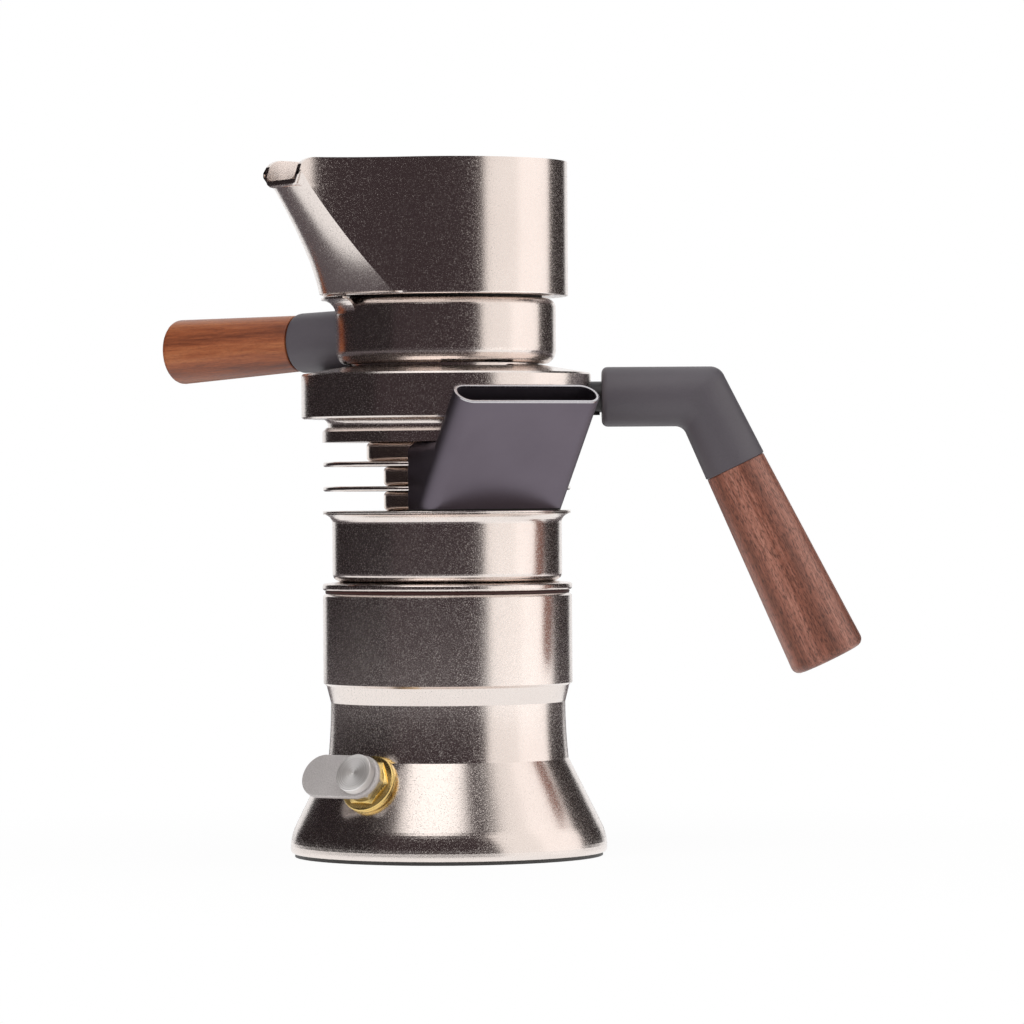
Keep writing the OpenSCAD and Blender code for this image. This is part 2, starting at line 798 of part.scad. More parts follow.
// Holes on rings about the axis, six more on each ring
module hole_pattern(step, z, h) {
    for (ring = [1:hole_rings], k = [0:6 * ring - 1])
        rotate([0, 0, 60 * k / ring]) translate([ring * step, 0, z]) cylinder(r = hole_r, h = h);
}

module shower_screen() {
    color("#cfcac5") difference() {
        turn([
            [screw_r + fit_gap, z_socket + screen_h - screen_t],
            [screen_r - screen_t, z_socket + screen_h - screen_t],
            [screen_r - screen_t, z_socket],
            [screen_r, z_socket],
            [screen_r, z_socket + screen_h],
            [screw_r + fit_gap, z_socket + screen_h]]);
        hole_pattern(screen_r / hole_spread, z_socket, screen_h * 2);
    }
}

module shower_screw() {
    color("#8b8784") difference() {
        union() {
            translate([0, 0, z_socket - screw_len + fit_gap])
                cylinder(r = screw_r, h = screw_len + screen_h);
            translate([0, 0, z_socket + screen_h]) cylinder(r = screw_r * 2, h = screw_head_t);
        }
        translate([-screw_r * 3, -screw_slot / 2, z_socket + screen_h + screw_head_t / 2])
            cube([screw_r * 6, screw_slot, screw_head_t]);
    }
}

// Main handle: a stud in the group head carries an elbow, and a rod ties the grip to it
stud_r = stud_d / 2;
stud_root = undercut_r + 3;
elbow_x = group_r + stud_gap;
bend_x = elbow_x + elbow_arm;
elbow_r = elbow_d / 2;
rod_r = rod_d / 2;
stud_depth = 16;
rod_depth = elbow_drop * 0.6;
rod_in_grip = grip_len * 0.7;
lock_r = 1.3;
lock_show = 1;
lock_x = group_r + stud_gap / 2;
elbow_edge = 1.4;

// Frame at the bend, +Z down along the falling arm
module on_handle_arm() {
    translate([bend_x, 0, z_handle]) rotate([0, 180 - handle_lean, 0]) children();
}

module handle_stud() {
    color("#2a2829") difference() {
        translate([stud_root, 0, z_handle]) rotate([0, 90, 0])
            cylinder(r = stud_r, h = elbow_x + stud_depth - stud_root);
        translate([lock_x, 0, z_handle - stud_r - eps]) cylinder(r = lock_r + fit_gap, h = stud_r);
    }
}

module stud_lock_screw() {
    color("#1b1a1b") difference() {
        translate([lock_x, 0, z_handle - stud_r - lock_show]) cylinder(r = lock_r, h = stud_r);
        translate([lock_x, 0, z_handle - stud_r - lock_show - eps])
            cylinder(r = lock_r / 2, h = lock_r, $fn = 6);
    }
}

// Elbow skin: lines along the tube, each rounded where it passes the bend
bend_angle = 90 - handle_lean;
bend_out_r = 5.8;
bend_in_r = 4.4;
elbow_sides = 36;
elbow_steps = 5;

// Directions along and square to the two arms, in the handle's upright plane
arm_1 = [1, 0, 0];
arm_2 = [sin(handle_lean), 0, -cos(handle_lean)];
above_1 = [0, 0, 1];
above_2 = [cos(handle_lean), 0, sin(handle_lean)];
bend_at = [bend_x, 0, z_handle];

// One skin line, from h above the centre line and y beside it, by share j of the bend
function elbow_bend(h, y, j) =
    let (r = bend_in_r + (bend_out_r - bend_in_r) * (h / elbow_r + 1) / 2,
         t = tan(bend_angle / 2),
         corner = bend_at + h * (above_1 + t * arm_1),
         a = bend_angle * j)
    corner - r * t * arm_1 - r * above_1 + r * (cos(a) * above_1 + sin(a) * arm_1) + [0, y, 0];

// Rings of the skin: the rounded root, the bend and the grip's end
function elbow_ring(i) =
    [for (k = [0:elbow_sides - 1])
        let (c = cos(360 * k / elbow_sides), s = sin(360 * k / elbow_sides), r = elbow_r,
             lost = elbow_edge * (1 - sin(45 * i)), back = elbow_edge * (1 - cos(45 * i)))
        i < 3 ? [elbow_x + back, (r - lost) * s, z_handle + (r - lost) * c]
        : i < 4 + elbow_steps ? elbow_bend(r * c, r * s, (i - 3) / elbow_steps)
        : bend_at + elbow_drop * arm_2 + elbow_end_d / 2 * (c * above_2 + [0, s, 0])];

module elbow_skin() {
    n = elbow_sides;
    rings = 5 + elbow_steps;
    points = [for (i = [0:rings - 1]) each elbow_ring(i)];
    walls = [for (i = [0:rings - 2], k = [0:n - 1], half = [0, 1])
        let (a = i * n + k, b = i * n + (k + 1) % n)
        half == 0 ? [a, b, b + n] : [a, b + n, a + n]];
    root = [for (k = [1:n - 2]) [0, k + 1, k]];
    end = (rings - 1) * n;
    end_face = [for (k = [1:n - 2]) [end, end + k, end + k + 1]];
    polyhedron(points, concat(walls, root, end_face));
}

module handle_elbow() {
    color("#646166") difference() {
        elbow_skin();
        translate([elbow_x - eps, 0, z_handle]) rotate([0, 90, 0])
            cylinder(r = stud_r + fit_gap, h = stud_depth + fit_gap);
        on_handle_arm() translate([0, 0, elbow_drop - rod_depth - fit_gap])
            cylinder(r = rod_r + fit_gap, h = rod_depth * 2);
    }
}

module handle_rod() {
    color("#b9b5b1") on_handle_arm() translate([0, 0, elbow_drop - rod_depth])
        cylinder(r = rod_r, h = rod_depth + rod_in_grip);
}

// Turned grip along +Z with a blind hole for its rod
grip_edge = 3;
grip_root_edge = 0.6;

module turned_grip(length, root_d, end_d, rod_hole_r, hole_depth) {
    difference() {
        turn(concat(
            [[0, 0], [root_d / 2 - grip_root_edge, 0], [root_d / 2, grip_root_edge]],
            arc(end_d / 2 - grip_edge, length - grip_edge, grip_edge, 0, 90),
            [[0, length]]));
        translate([0, 0, -eps]) cylinder(r = rod_hole_r + fit_gap, h = hole_depth + fit_gap + eps);
    }
}

module handle_grip() {
    color("#7d5244") on_handle_arm() translate([0, 0, elbow_drop])
        turned_grip(grip_len, grip_root_d, grip_end_d, rod_r, rod_in_grip);
}

// Portafilter ring with bayonet lugs, and a drip lip below the spout
drip_r = 5.5;
drip_t = 0.8;
drip_from = 170;
drip_to = 216;
z_drip = z_ring_top - drip_r - drip_t / 2;
side_stud_r = rod_r * 0.8;
side_stud_cover = 2.2;
side_stud_root = ring_bore_r + side_stud_cover;
clip_groove = clip_wire + 3 * guide_gap - basket_gap;
z_clip = z_basket_seat + 4;
column_hole_r = column_r + fit_gap;

module portafilter_ring() {
    color("#8d857f") difference() {
        union() {
            turn(concat(
                [[basket_rim_r + fit_gap, z_basket_rim],
                 [entry_r, z_basket_rim],
                 [entry_r, z_ring]],
                oval_arc(ring_r - ring_under_w, z_ring + ring_under_h,
                    ring_under_w, ring_under_h, -90, 0, 10),
                oval_arc(ring_r - ring_round_w, z_ring_top - ring_round_h,
                    ring_round_w, ring_round_h, 0, 90, 10),
                [[column_hole_r, z_ring_top],
                 [column_hole_r, z_ring_top - ring_top_t],
                 [ring_bore_r, z_ring_top - ring_top_t],
                 [ring_bore_r, z_basket_seat],
                 [basket_rim_r + fit_gap, z_basket_seat]]));
            for (k = [0:lug_count - 1])
                rotate([0, 0, 360 * k / lug_count - lug_angle / 2])
                    rotate_extrude(angle = lug_angle)
                        translate([basket_rim_r + fit_gap * 2, z_lug_top - lug_h])
                            square([lug_r - basket_rim_r - fit_gap * 2, lug_h]);
            rotate([0, 0, drip_from]) rotate_extrude(angle = drip_to - drip_from)
                polygon(concat(
                    arc(ring_r + drip_r - eps, z_drip, drip_r, 90, 180),
                    arc(ring_r + drip_r - eps, z_drip, drip_r + drip_t, 180, 90)));
        }
        translate([0, 0, z_clip - clip_wire / 2 - guide_gap])
            cylinder(r = ring_bore_r + clip_groove, h = clip_wire + 2 * guide_gap);
        on_side() translate([side_stud_root, 0, 0]) rotate([0, 90, 0])
            cylinder(r = side_stud_r + fit_gap, h = ring_r);
    }
}

module filter_basket() {
    top = z_basket_rim + basket_h;
    inner = basket_d / 2;
    color("#cfcac5") difference() {
        turn([
            [inner, z_basket_rim],
            [basket_rim_r, z_basket_rim],
            [basket_rim_r, z_basket_seat],
            [basket_r, z_basket_seat],
            [basket_r, top],
            [0, top],
            [0, top - basket_t],
            [inner, top - basket_t]]);
        hole_pattern(inner / hole_spread, top - 2 * basket_t, basket_t * 4);
    }
}

module basket_clip() {
    color("#b9b5b1") rotate([0, 0, 30]) rotate_extrude(angle = 310)
        translate([basket_r + guide_gap + clip_wire / 2, z_clip]) circle(d = clip_wire, $fn = 24);
}

// Side handle, along +X of its own frame
module on_side() {
    rotate([0, 0, side_azimuth]) translate([0, 0, z_side]) rotate([0, side_fall, 0]) children();
}

ferrule_r = ferrule_d / 2;
ferrule_end = ring_r + ferrule_len;
ferrule_edge = 2.4;
ferrule_bite = 4;
side_grip_bore = side_grip_len * 0.6;

module side_stud() {
    color("#b9b5b1") on_side() translate([side_stud_root, 0, 0]) rotate([0, 90, 0])
        cylinder(r = side_stud_r, h = ferrule_end + side_grip_bore - side_stud_root);
}

module side_ferrule() {
    start = ring_r - ferrule_bite;
    color("#646166") difference() {
        on_side() translate([start, 0, 0]) rotate([0, 90, 0])
            turn(concat(
                [[side_stud_r + fit_gap, 0], [ferrule_r, 0]],
                arc(ferrule_r - ferrule_edge, ferrule_end - start - ferrule_edge,
                    ferrule_edge, 0, 90),
                [[side_stud_r + fit_gap, ferrule_end - start]]));
        cylinder(r = ring_r + guide_gap, h = z_jug_top);
    }
}

module side_grip() {
    color("#955a32") on_side() translate([ferrule_end, 0, 0]) rotate([0, 90, 0])
        turned_grip(side_grip_len, side_root_d, side_end_d, side_stud_r, side_grip_bore);
}

// Jug: the spout's upright flanks curve in from the wall until they run level with the spout,
// and its underside is carved back from the lip down to the wall
spout_steps = 12;
spout_sides = 14;
flank_sides = 10;
spout_root_x = jug_r * 0.8;
spout_run = 0.9;
root_bulge = 8.6;
throat_bulge = 3.4;
carve_over = 1.4;
spout_tuck = 0.8;
spout_flank_r = jug_r - spout_tuck;
z_spout = z_jug + spout_low;
z_lip_under = z_jug_top - lip_depth;

// How far out the carved front's corners are, and its bulge, at height share u
function spout_front(u) =
    spout_root_x + (spout_reach - lip_throat - spout_root_x) * pow(u, spout_run);
function spout_bulge(u) = root_bulge + (throat_bulge - root_bulge) * u;

// The flank in plan: start on the wall, turning point and end at the lip, drawn in by inset
function flank_knots(inset) =
    let (half = lip_w / 2 - inset,
         start = (spout_flank_r - inset) * [cos(spout_spread), sin(spout_spread)])
    [start, [start[0] + (start[1] - half) * tan(spout_spread), half], [spout_reach, half]];

// Point at share t along the flank, and the share at which it is x from the axis
function flank_point(k, t) =
    (1 - t) * (1 - t) * k[0] + 2 * t * (1 - t) * k[1] + t * t * k[2];
function flank_share(k, x) =
    let (a = k[0][0] - 2 * k[1][0] + k[2][0], b = 2 * (k[1][0] - k[0][0]), c = k[0][0] - x)
    -2 * c / (b + sqrt(b * b - 4 * a * c));

// The spout's upright solid from z up, drawn in by inset, with its end carried out by past
module spout_prism(inset, past, z) {
    k = flank_knots(inset);
    side = [for (i = [0:flank_sides]) flank_point(k, i / flank_sides)];
    translate([0, 0, z]) linear_extrude(z_jug_top - z + (inset > 0 ? eps : 0))
        polygon(concat([for (p = side) [p[0], -p[1]]],
            past > 0 ? [for (y = [-1, 1]) [spout_reach + past, y * k[2][1]]] : [],
            [for (i = [0:flank_sides]) side[flank_sides - i]]));
}

// One level of the carve: its outer edge, then the spout's front, each from side to side
function carve_ring(u, inset, z) =
    let (x = spout_front(u),
         k = flank_knots(0),
         half = flank_point(k, flank_share(k, x))[1],
         shares = [for (i = [0:spout_sides]) carve_over * (2 * i / spout_sides - 1)])
    concat([for (s = shares) [spout_reach * 2, half * s, z]],
        [for (s = shares) [x - inset + spout_bulge(u) * (1 - s * s), -half * s, z]]);

// What is cut away under the spout
module spout_carve(inset) {
    m = spout_sides + 1;
    n = 2 * m;
    low = z_spout + inset;
    points = concat(carve_ring(0, inset, low - jug_wall),
        [for (i = [0:spout_steps]) let (u = i / spout_steps)
            each carve_ring(u, inset, low + (z_lip_under - z_spout) * u)]);
    walls = [for (i = [0:spout_steps], k = [0:n - 1], half = [0, 1])
        let (a = i * n + k, b = i * n + (k + 1) % n)
        half == 0 ? [a, b + n, b] : [a, a + n, b + n]];
    top = (spout_steps + 1) * n;
    caps = [for (j = [0:m - 2])
        each [[j, j + 1, n - 2 - j], [j, n - 2 - j, n - 1 - j],
              [top + j, top + n - 2 - j, top + j + 1], [top + j, top + n - 1 - j, top + n - 2 - j]]];
    polyhedron(points, concat(walls, caps));
}

module jug() {
    color("#8d857f") rotate([0, 0, spout_azimuth]) difference() {
        union() {
            translate([0, 0, z_jug]) cylinder(r = jug_r, h = jug_h);
            difference() {
                spout_prism(0, 0, z_spout);
                spout_carve(0);
            }
        }
        translate([0, 0, z_jug_floor]) cylinder(r = jug_r - jug_wall, h = jug_h);
        difference() {
            spout_prism(jug_wall, jug_wall * 4, z_spout + jug_wall);
            spout_carve(jug_wall);
        }
        translate([0, 0, z_jug - eps]) cylinder(r = column_hole_r, h = jug_floor + 2 * eps);
        translate([spout_reach - lip_round, 0, z_jug_top - lip_round]) lip_corner();
    }
}

// What is cut away to round the upper front corners of the lip
module lip_corner() {
    rotate([90, 0, 0]) linear_extrude(lip_w * 2, center = true) difference() {
        square(lip_round * 2);
        circle(r = lip_round);
    }
}

jug_seal_r = ring_r - ring_round_w - 1;

module jug_seal() {
    color("#221f1e") translate([0, 0, z_ring_top])
        rounded_ring(jug_seal_r, jug_seal_r * 0.5, jug_seal_t, jug_seal_t * 0.3);
}

// Coffee column: a hollow bolt that clamps the jug to the ring
column_flange_r = column_r + 4;
column_flange_t = 2.5;
column_nut_t = 3;
z_column = z_ring_top - ring_top_t - column_nut_t;
z_column_top = z_jug_floor + column_h;
column_cap_wall = 1.6;
column_cap_h = 9;

module coffee_column() {
    color("#cfcac5") difference() {
        union() {
            translate([0, 0, z_column]) cylinder(r = column_r, h = z_column_top - z_column);
            translate([0, 0, z_jug_floor]) cylinder(r = column_flange_r, h = column_flange_t);
        }
        translate([0, 0, z_column - eps])
            cylinder(r = column_r - column_wall, h = z_column_top - z_column + 2 * eps);
    }
}

module column_nut() {
    color("#b9b5b1") difference() {
        translate([0, 0, z_column]) cylinder(r = column_flange_r, h = column_nut_t, $fn = 6);
        translate([0, 0, z_column - eps]) cylinder(r = column_hole_r, h = column_nut_t + 2 * eps);
    }
}

column_cap_room = 2.6;
column_cap_edge = 1.5;
column_cap_ledge = 0.6;

module column_cap() {
    r = column_hole_r + column_cap_wall;
    top = z_column_top + column_cap_room + column_cap_wall;
    color("#cfcac5") difference() {
        turn(concat(
            [[0, top - column_cap_h], [r, top - column_cap_h]],
            arc(r - column_cap_edge, top - column_cap_edge, column_cap_edge, 0, 90, 5),
            [[0, top]]));
        translate([0, 0, z_column_top - column_cap_h])
            cylinder(r = column_hole_r, h = column_cap_h);
        translate([0, 0, z_column_top - eps])
            cylinder(r = column_r - column_cap_ledge, h = column_cap_room + eps);
        for (k = [0:1])
            rotate([0, 0, 90 * k]) translate([0, 0, z_column_top + column_cap_room / 2])
                rotate([90, 0, 0])
                    cylinder(r = column_cap_room * 0.4, h = r * 4, center = true);
    }
}

// Safety valve, along +Z of its own frame on the flare
valve_seat = -1;
washer_t = 0.9;
washer_rim = 0.5;
washer_edge = 0.2;
washer_r = bush_d / 2 + washer_rim;
z_bush = valve_seat + washer_t;
z_hex = z_bush + bush_t * 0.6;
z_valve_body = z_bush + bush_t;
z_tab = z_valve_body + body_t + guide_gap;
z_cap = z_tab + tab_t + guide_gap;
pull_stem_r = pull_stem_d / 2;
poppet_r = pull_stem_r + 1.6;
poppet_t = 1.5;
poppet_seat = 1;
poppet_tail = 2;
z_poppet = z_bush + poppet_seat;
steam_gap = 0.6;
bush_hex_af = body_af + 2.4;
turned_edge = 0.5;
valve_room_r = poppet_r + run_gap;
valve_roof = 0.8;
bush_tail = boiler_wall * 2.2;

module on_valve() {
    rotate([0, 0, valve_azimuth])
        translate([neck_r + (flare_h - valve_h) * flare_slope, 0, valve_h])
            rotate([0, 90 - flare_angle, 0]) children();
}

module valve_washer() {
    color("#b08a45") on_valve() translate([0, 0, valve_seat])
        rounded_ring(washer_r, bush_thread_d / 2 + fit_gap, washer_t, washer_edge);
}

module valve_bush() {
    color("#c9a24f") on_valve() difference() {
        union() {
            translate([0, 0, z_bush])
                rounded_ring(bush_d / 2, pull_stem_r / 2, z_hex - z_bush, turned_edge);
            translate([0, 0, z_hex - eps])
                cylinder(d = bush_hex_af / cos(30), h = z_valve_body - z_hex + eps, $fn = 6);
            translate([0, 0, z_bush - bush_tail]) cylinder(d = bush_thread_d, h = bush_tail + eps);
        }
        translate([0, 0, z_bush - bush_tail - eps])
            cylinder(r = pull_stem_r + steam_gap, h = bush_tail + 2 * bush_t);
        translate([0, 0, z_poppet - guide_gap]) cylinder(r = valve_room_r, h = bush_t);
    }
}

module valve_body() {
    color("#a9a5a2") on_valve() difference() {
        translate([0, 0, z_valve_body]) intersection() {
            cylinder(d = body_af / cos(30), h = body_t, $fn = 6);
            cylinder(r1 = body_af / cos(30) / 2 + body_t, r2 = body_af / 2 + fit_gap, h = body_t);
        }
        translate([0, 0, z_valve_body - eps]) cylinder(r = valve_room_r, h = body_t - valve_roof + eps);
        translate([0, 0, z_valve_body]) cylinder(r = pull_stem_r + guide_gap, h = body_t * 2);
    }
}

valve_spring_r = (pull_stem_r + run_gap + spring_wire / 2) / cos(180 / spring_points);
valve_spring_path = spring_path(valve_spring_r,
    z_poppet + poppet_t + spring_wire / 2 + guide_gap,
    z_valve_body + body_t - valve_roof - spring_wire / 2 - guide_gap, 2);
echo("safety valve spring, least gap to itself", own_gap(valve_spring_path, spring_points, spring_wire));

module valve_spring() {
    color("#b9b5b1") on_valve() swept_tube(valve_spring_path, spring_wire / 2, 6);
}

module valve_poppet() {
    color("#c0bcb8") on_valve() {
        translate([0, 0, z_poppet]) cylinder(r = poppet_r, h = poppet_t);
        translate([0, 0, z_poppet - poppet_tail])
            cylinder(r = pull_stem_r, h = z_cap - z_poppet + poppet_tail);
    }
}

module valve_cap() {
    color("#bdb8b4") on_valve() translate([0, 0, z_cap])
        rounded_ring(cap_d / 2, 0, cap_t, turned_edge);
}

module valve_tab() {
    color("#aaa5a2") on_valve() translate([0, 0, z_tab]) difference() {
        union() {
            cylinder(d = tab_w, h = tab_t);
            translate([0, -tab_reach + tab_w / 2, 0]) cylinder(d = tab_w, h = tab_t);
            translate([-tab_w / 2, -tab_reach + tab_w / 2, 0]) cube([tab_w, tab_reach - tab_w / 2, tab_t]);
        }
        translate([0, 0, -eps]) cylinder(r = pull_stem_r + guide_gap, h = tab_t + 2 * eps);
    }
}

boiler_base();
base_plate();
base_seal();
upper_boiler();
upper_lid();
spacer_lower();
fin_lower();
spacer_middle();
fin_upper();
spacer_upper();
riser_tube();
cooling_coil();
dip_tube();
brew_valve_body();
brew_valve_ball();
brew_valve_spring();
fill_duct();
duct_seal();
group_plate();
group_head();
group_seal();
shower_screen();
shower_screw();
handle_stud();
stud_lock_screw();
handle_elbow();
handle_rod();
handle_grip();
portafilter_ring();
filter_basket();
basket_clip();
side_stud();
side_ferrule();
side_grip();
jug();
jug_seal();
coffee_column();
column_nut();
column_cap();
valve_washer();
valve_bush();
valve_body();
valve_spring();
valve_poppet();
valve_cap();
valve_tab();
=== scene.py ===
"""Looks of the stovetop espresso maker: jug, handles, valve, springs, materials, light and camera."""
import math

import bmesh
import bpy
from mathutils import Matrix, Quaternion, Vector


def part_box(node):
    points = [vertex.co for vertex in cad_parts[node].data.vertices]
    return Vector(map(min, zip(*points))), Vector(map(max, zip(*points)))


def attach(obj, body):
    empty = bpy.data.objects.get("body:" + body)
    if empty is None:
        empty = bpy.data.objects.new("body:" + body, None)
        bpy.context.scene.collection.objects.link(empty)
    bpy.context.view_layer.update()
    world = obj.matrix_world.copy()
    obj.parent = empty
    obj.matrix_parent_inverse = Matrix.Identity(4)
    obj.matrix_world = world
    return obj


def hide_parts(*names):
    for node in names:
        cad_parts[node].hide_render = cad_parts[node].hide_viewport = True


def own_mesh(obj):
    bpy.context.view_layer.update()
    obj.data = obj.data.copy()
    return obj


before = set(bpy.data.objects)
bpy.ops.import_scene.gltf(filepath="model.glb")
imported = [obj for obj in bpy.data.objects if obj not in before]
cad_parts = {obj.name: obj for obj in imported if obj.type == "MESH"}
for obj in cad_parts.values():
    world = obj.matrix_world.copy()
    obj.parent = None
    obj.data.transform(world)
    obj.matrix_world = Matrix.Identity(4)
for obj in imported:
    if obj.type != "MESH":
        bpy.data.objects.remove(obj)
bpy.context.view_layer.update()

MM = 0.001


# Materials
class Shader:
    """A material with a Principled shader and short calls for its nodes."""

    def __init__(self, name, metallic):
        self.material = bpy.data.materials.new(name)
        self.material.use_nodes = True
        self.nodes = self.material.node_tree.nodes
        self.links = self.material.node_tree.links
        self.bsdf = self.nodes["Principled BSDF"]
        self.bsdf.inputs["Metallic"].default_value = metallic
        self.place = self.node("ShaderNodeTexCoord").outputs["Object"]

    def node(self, kind, inputs=None, **settings):
        """New node with its settings and the fixed values of its inputs."""
        made = self.nodes.new(kind)
        for key, value in settings.items():
            setattr(made, key, value)
        for socket, value in (inputs or {}).items():
            made.inputs[socket].default_value = value
        return made

    def join(self, source, target):
        self.links.new(source, target)

    def mapping(self, scale, location=(0, 0, 0)):
        made = self.node("ShaderNodeMapping", {"Location": location, "Scale": scale})
        self.join(self.place, made.inputs["Vector"])
        return made.outputs["Vector"]

    def noise(self, scale, detail, rough, vector=None):
        made = self.node("ShaderNodeTexNoise", {"Scale": scale, "Detail": detail, "Roughness": rough})
        self.join(vector or self.place, made.inputs["Vector"])
        return made.outputs["Fac"]

    def ramp(self, value, *stops):
        """Colour from (position, colour) stops."""
        made = self.node("ShaderNodeValToRGB")
        points = made.color_ramp.elements
        while len(points) < len(stops):
            points.new(0.5)
        for point, (position, color) in zip(points, stops):
            point.position = position
            point.color = (*color, 1)
        self.join(value, made.inputs["Fac"])
        return made.outputs["Color"]

    def span(self, value, source, target=(0.0, 1.0)):
        """One range of a value mapped to another, held at both ends."""
        made = self.node("ShaderNodeMapRange", {"From Min": source[0], "From Max": source[1],
                                                "To Min": target[0], "To Max": target[1]})
        self.join(value, made.inputs["Value"])
        return made.outputs["Result"]

    def math(self, operation, *values):
        made = self.node("ShaderNodeMath", operation=operation)
        for socket, value in zip(made.inputs, values):
            if isinstance(value, (int, float)):
                socket.default_value = value
            else:
                self.join(value, socket)
        return made.outputs[0]

    def weigh(self, *parts):
        """Sum of (value, share) parts."""
        first, *others = [self.math("MULTIPLY", value, share) for value, share in parts]
        for other in others:
            first = self.math("ADD", first, other)
        return first

    def mix(self, factor, color, other):
        """A colour, drawn towards another that is fixed."""
        made = self.node("ShaderNodeMix", data_type="RGBA")
        factor_socket, color_socket, other_socket = made.inputs[0], made.inputs[6], made.inputs[7]
        self.join(factor, factor_socket)
        self.join(color, color_socket)
        other_socket.default_value = (*other, 1)
        return made.outputs[2]

    def bump(self, height, strength, depth):
        made = self.node("ShaderNodeBump", {"Strength": strength, "Distance": depth})
        self.join(height, made.inputs["Height"])
        return made.outputs["Normal"]

    def finish(self, color, roughness, normal):
        for socket, value in (("Base Color", color), ("Roughness", roughness), ("Normal", normal)):
            self.join(value, self.bsdf.inputs[socket])
        return self.material


# Range that a noise mostly stays within
NOISE_RANGE = (0.3, 0.7)


def blasted_metal(name, light, dark, rough, strength, metallic=1.0):
    """Bead-blasted plating: fine grain, faint mottling."""
    s = Shader(name, metallic)
    grain = s.noise(scale=2600, detail=2, rough=0.6)
    cloud = s.noise(scale=45, detail=3, rough=0.55)
    tone = s.weigh((grain, 0.75), (cloud, 0.25))
    return s.finish(s.ramp(tone, (0.4, dark), (0.66, light)),
                    s.span(grain, source=(0.54, 0.74), target=rough),
                    s.bump(grain, strength, depth=0.0004))


def plain_metal(name, light, dark, rough):
    """Machined metal with fine lines along its Z."""
    s = Shader(name, metallic=1.0)
    lines = s.noise(scale=1, detail=2, rough=0.5, vector=s.mapping(scale=(3200, 3200, 260)))
    cloud = s.noise(scale=70, detail=2, rough=0.5)
    tone = s.weigh((lines, 0.6), (cloud, 0.4))
    return s.finish(s.ramp(tone, (0.3, dark), (0.7, light)),
                    s.span(lines, NOISE_RANGE, target=rough),
                    s.bump(lines, strength=0.05, depth=0.00005))


def coated(name, light, dark, rough, grain=1700, strength=0.1, metallic=0.0):
    """Fine-grained coating, plastic or rubber."""
    s = Shader(name, metallic)
    fine = s.noise(scale=grain, detail=3, rough=0.6)
    cloud = s.noise(scale=38, detail=3, rough=0.55)
    tone = s.weigh((fine, 0.5), (cloud, 0.5))
    return s.finish(s.ramp(tone, (0.33, dark), (0.67, light)),
                    s.span(fine, NOISE_RANGE, target=rough),
                    s.bump(fine, strength, depth=0.0003))


def walnut(name, tones, shift, pore_depth):
    """Oiled walnut with its grain along the piece's own Z: wide figure, fine streaks and short open pores."""
    deep, middle, pale, pore = tones
    s = Shader(name, metallic=0.0)
    s.bsdf.inputs["Coat Weight"].default_value = 0.25
    s.bsdf.inputs["Coat Roughness"].default_value = 0.28

    def along(share):
        """Place on the piece with its Z scaled down, so that what is laid on it gets longer."""
        return s.mapping(scale=(1, 1, share), location=shift)

    figure_at = along(0.06)
    figure = s.node("ShaderNodeTexWave", {"Scale": 26, "Distortion": 7, "Detail": 3, "Detail Scale": 1.1},
                    wave_type="BANDS", bands_direction="X")
    s.join(figure_at, figure.inputs["Vector"])
    drift = s.noise(scale=70, detail=3, rough=0.55, vector=figure_at)
    streak = s.noise(scale=950, detail=4, rough=0.65, vector=along(0.055))
    pores = s.span(s.noise(scale=1900, detail=2, rough=0.65, vector=along(0.24)), source=(0.46, 0.66))
    tone = s.weigh((figure.outputs["Fac"], 0.2), (drift, 0.36), (streak, 0.5))
    color = s.ramp(tone, (0.34, deep), (0.52, middle), (0.7, pale))
    relief = s.math("SUBTRACT", s.math("MULTIPLY", streak, 0.3), pores)
    return s.finish(s.mix(s.math("MULTIPLY", pores, pore_depth), color, pore),
                    s.span(streak, NOISE_RANGE, target=(0.42, 0.56)),
                    s.bump(relief, strength=0.2, depth=0.0002))


def turned_face_painted_bowtie(name, light, dark):
    """Face turned on a lathe, with rings about the piece's own Z axis and a bow-tie sheen painted into its colour.
    """
    s = Shader(name, metallic=0.65)
    flat = s.mapping(scale=(1, 1, 0))
    length = s.node("ShaderNodeVectorMath", operation="LENGTH")
    s.join(flat, length.inputs[0])
    radial = s.node("ShaderNodeTexNoise", {"Scale": 2600, "Detail": 2}, noise_dimensions="1D")
    s.join(length.outputs["Value"], radial.inputs["W"])
    rings = radial.outputs["Fac"]
    around = s.node("ShaderNodeTexGradient", gradient_type="RADIAL")
    s.join(flat, around.inputs["Vector"])
    # Painted highlight: the bow-tie sheen of a spun face, laid into the base colour by angle
    sheen = s.math("COSINE", s.math("MULTIPLY", around.outputs["Fac"], 4 * math.pi))
    tone = s.weigh((rings, 0.5), (sheen, 0.22))
    return s.finish(s.ramp(tone, (0.05, dark), (0.45, light)),
                    s.span(rings, NOISE_RANGE, target=(0.4, 0.52)),
                    s.bump(rings, strength=0.12, depth=0.0001))


NICKEL = blasted_metal("satin_nickel", (0.915, 0.84, 0.796), (0.83, 0.748, 0.704),
                       rough=(0.17, 0.58), strength=0.05)
FIN_METAL = blasted_metal("fin_nickel", (0.96, 0.9, 0.86), (0.72, 0.645, 0.605),
                          rough=(0.15, 0.36), strength=0.04)
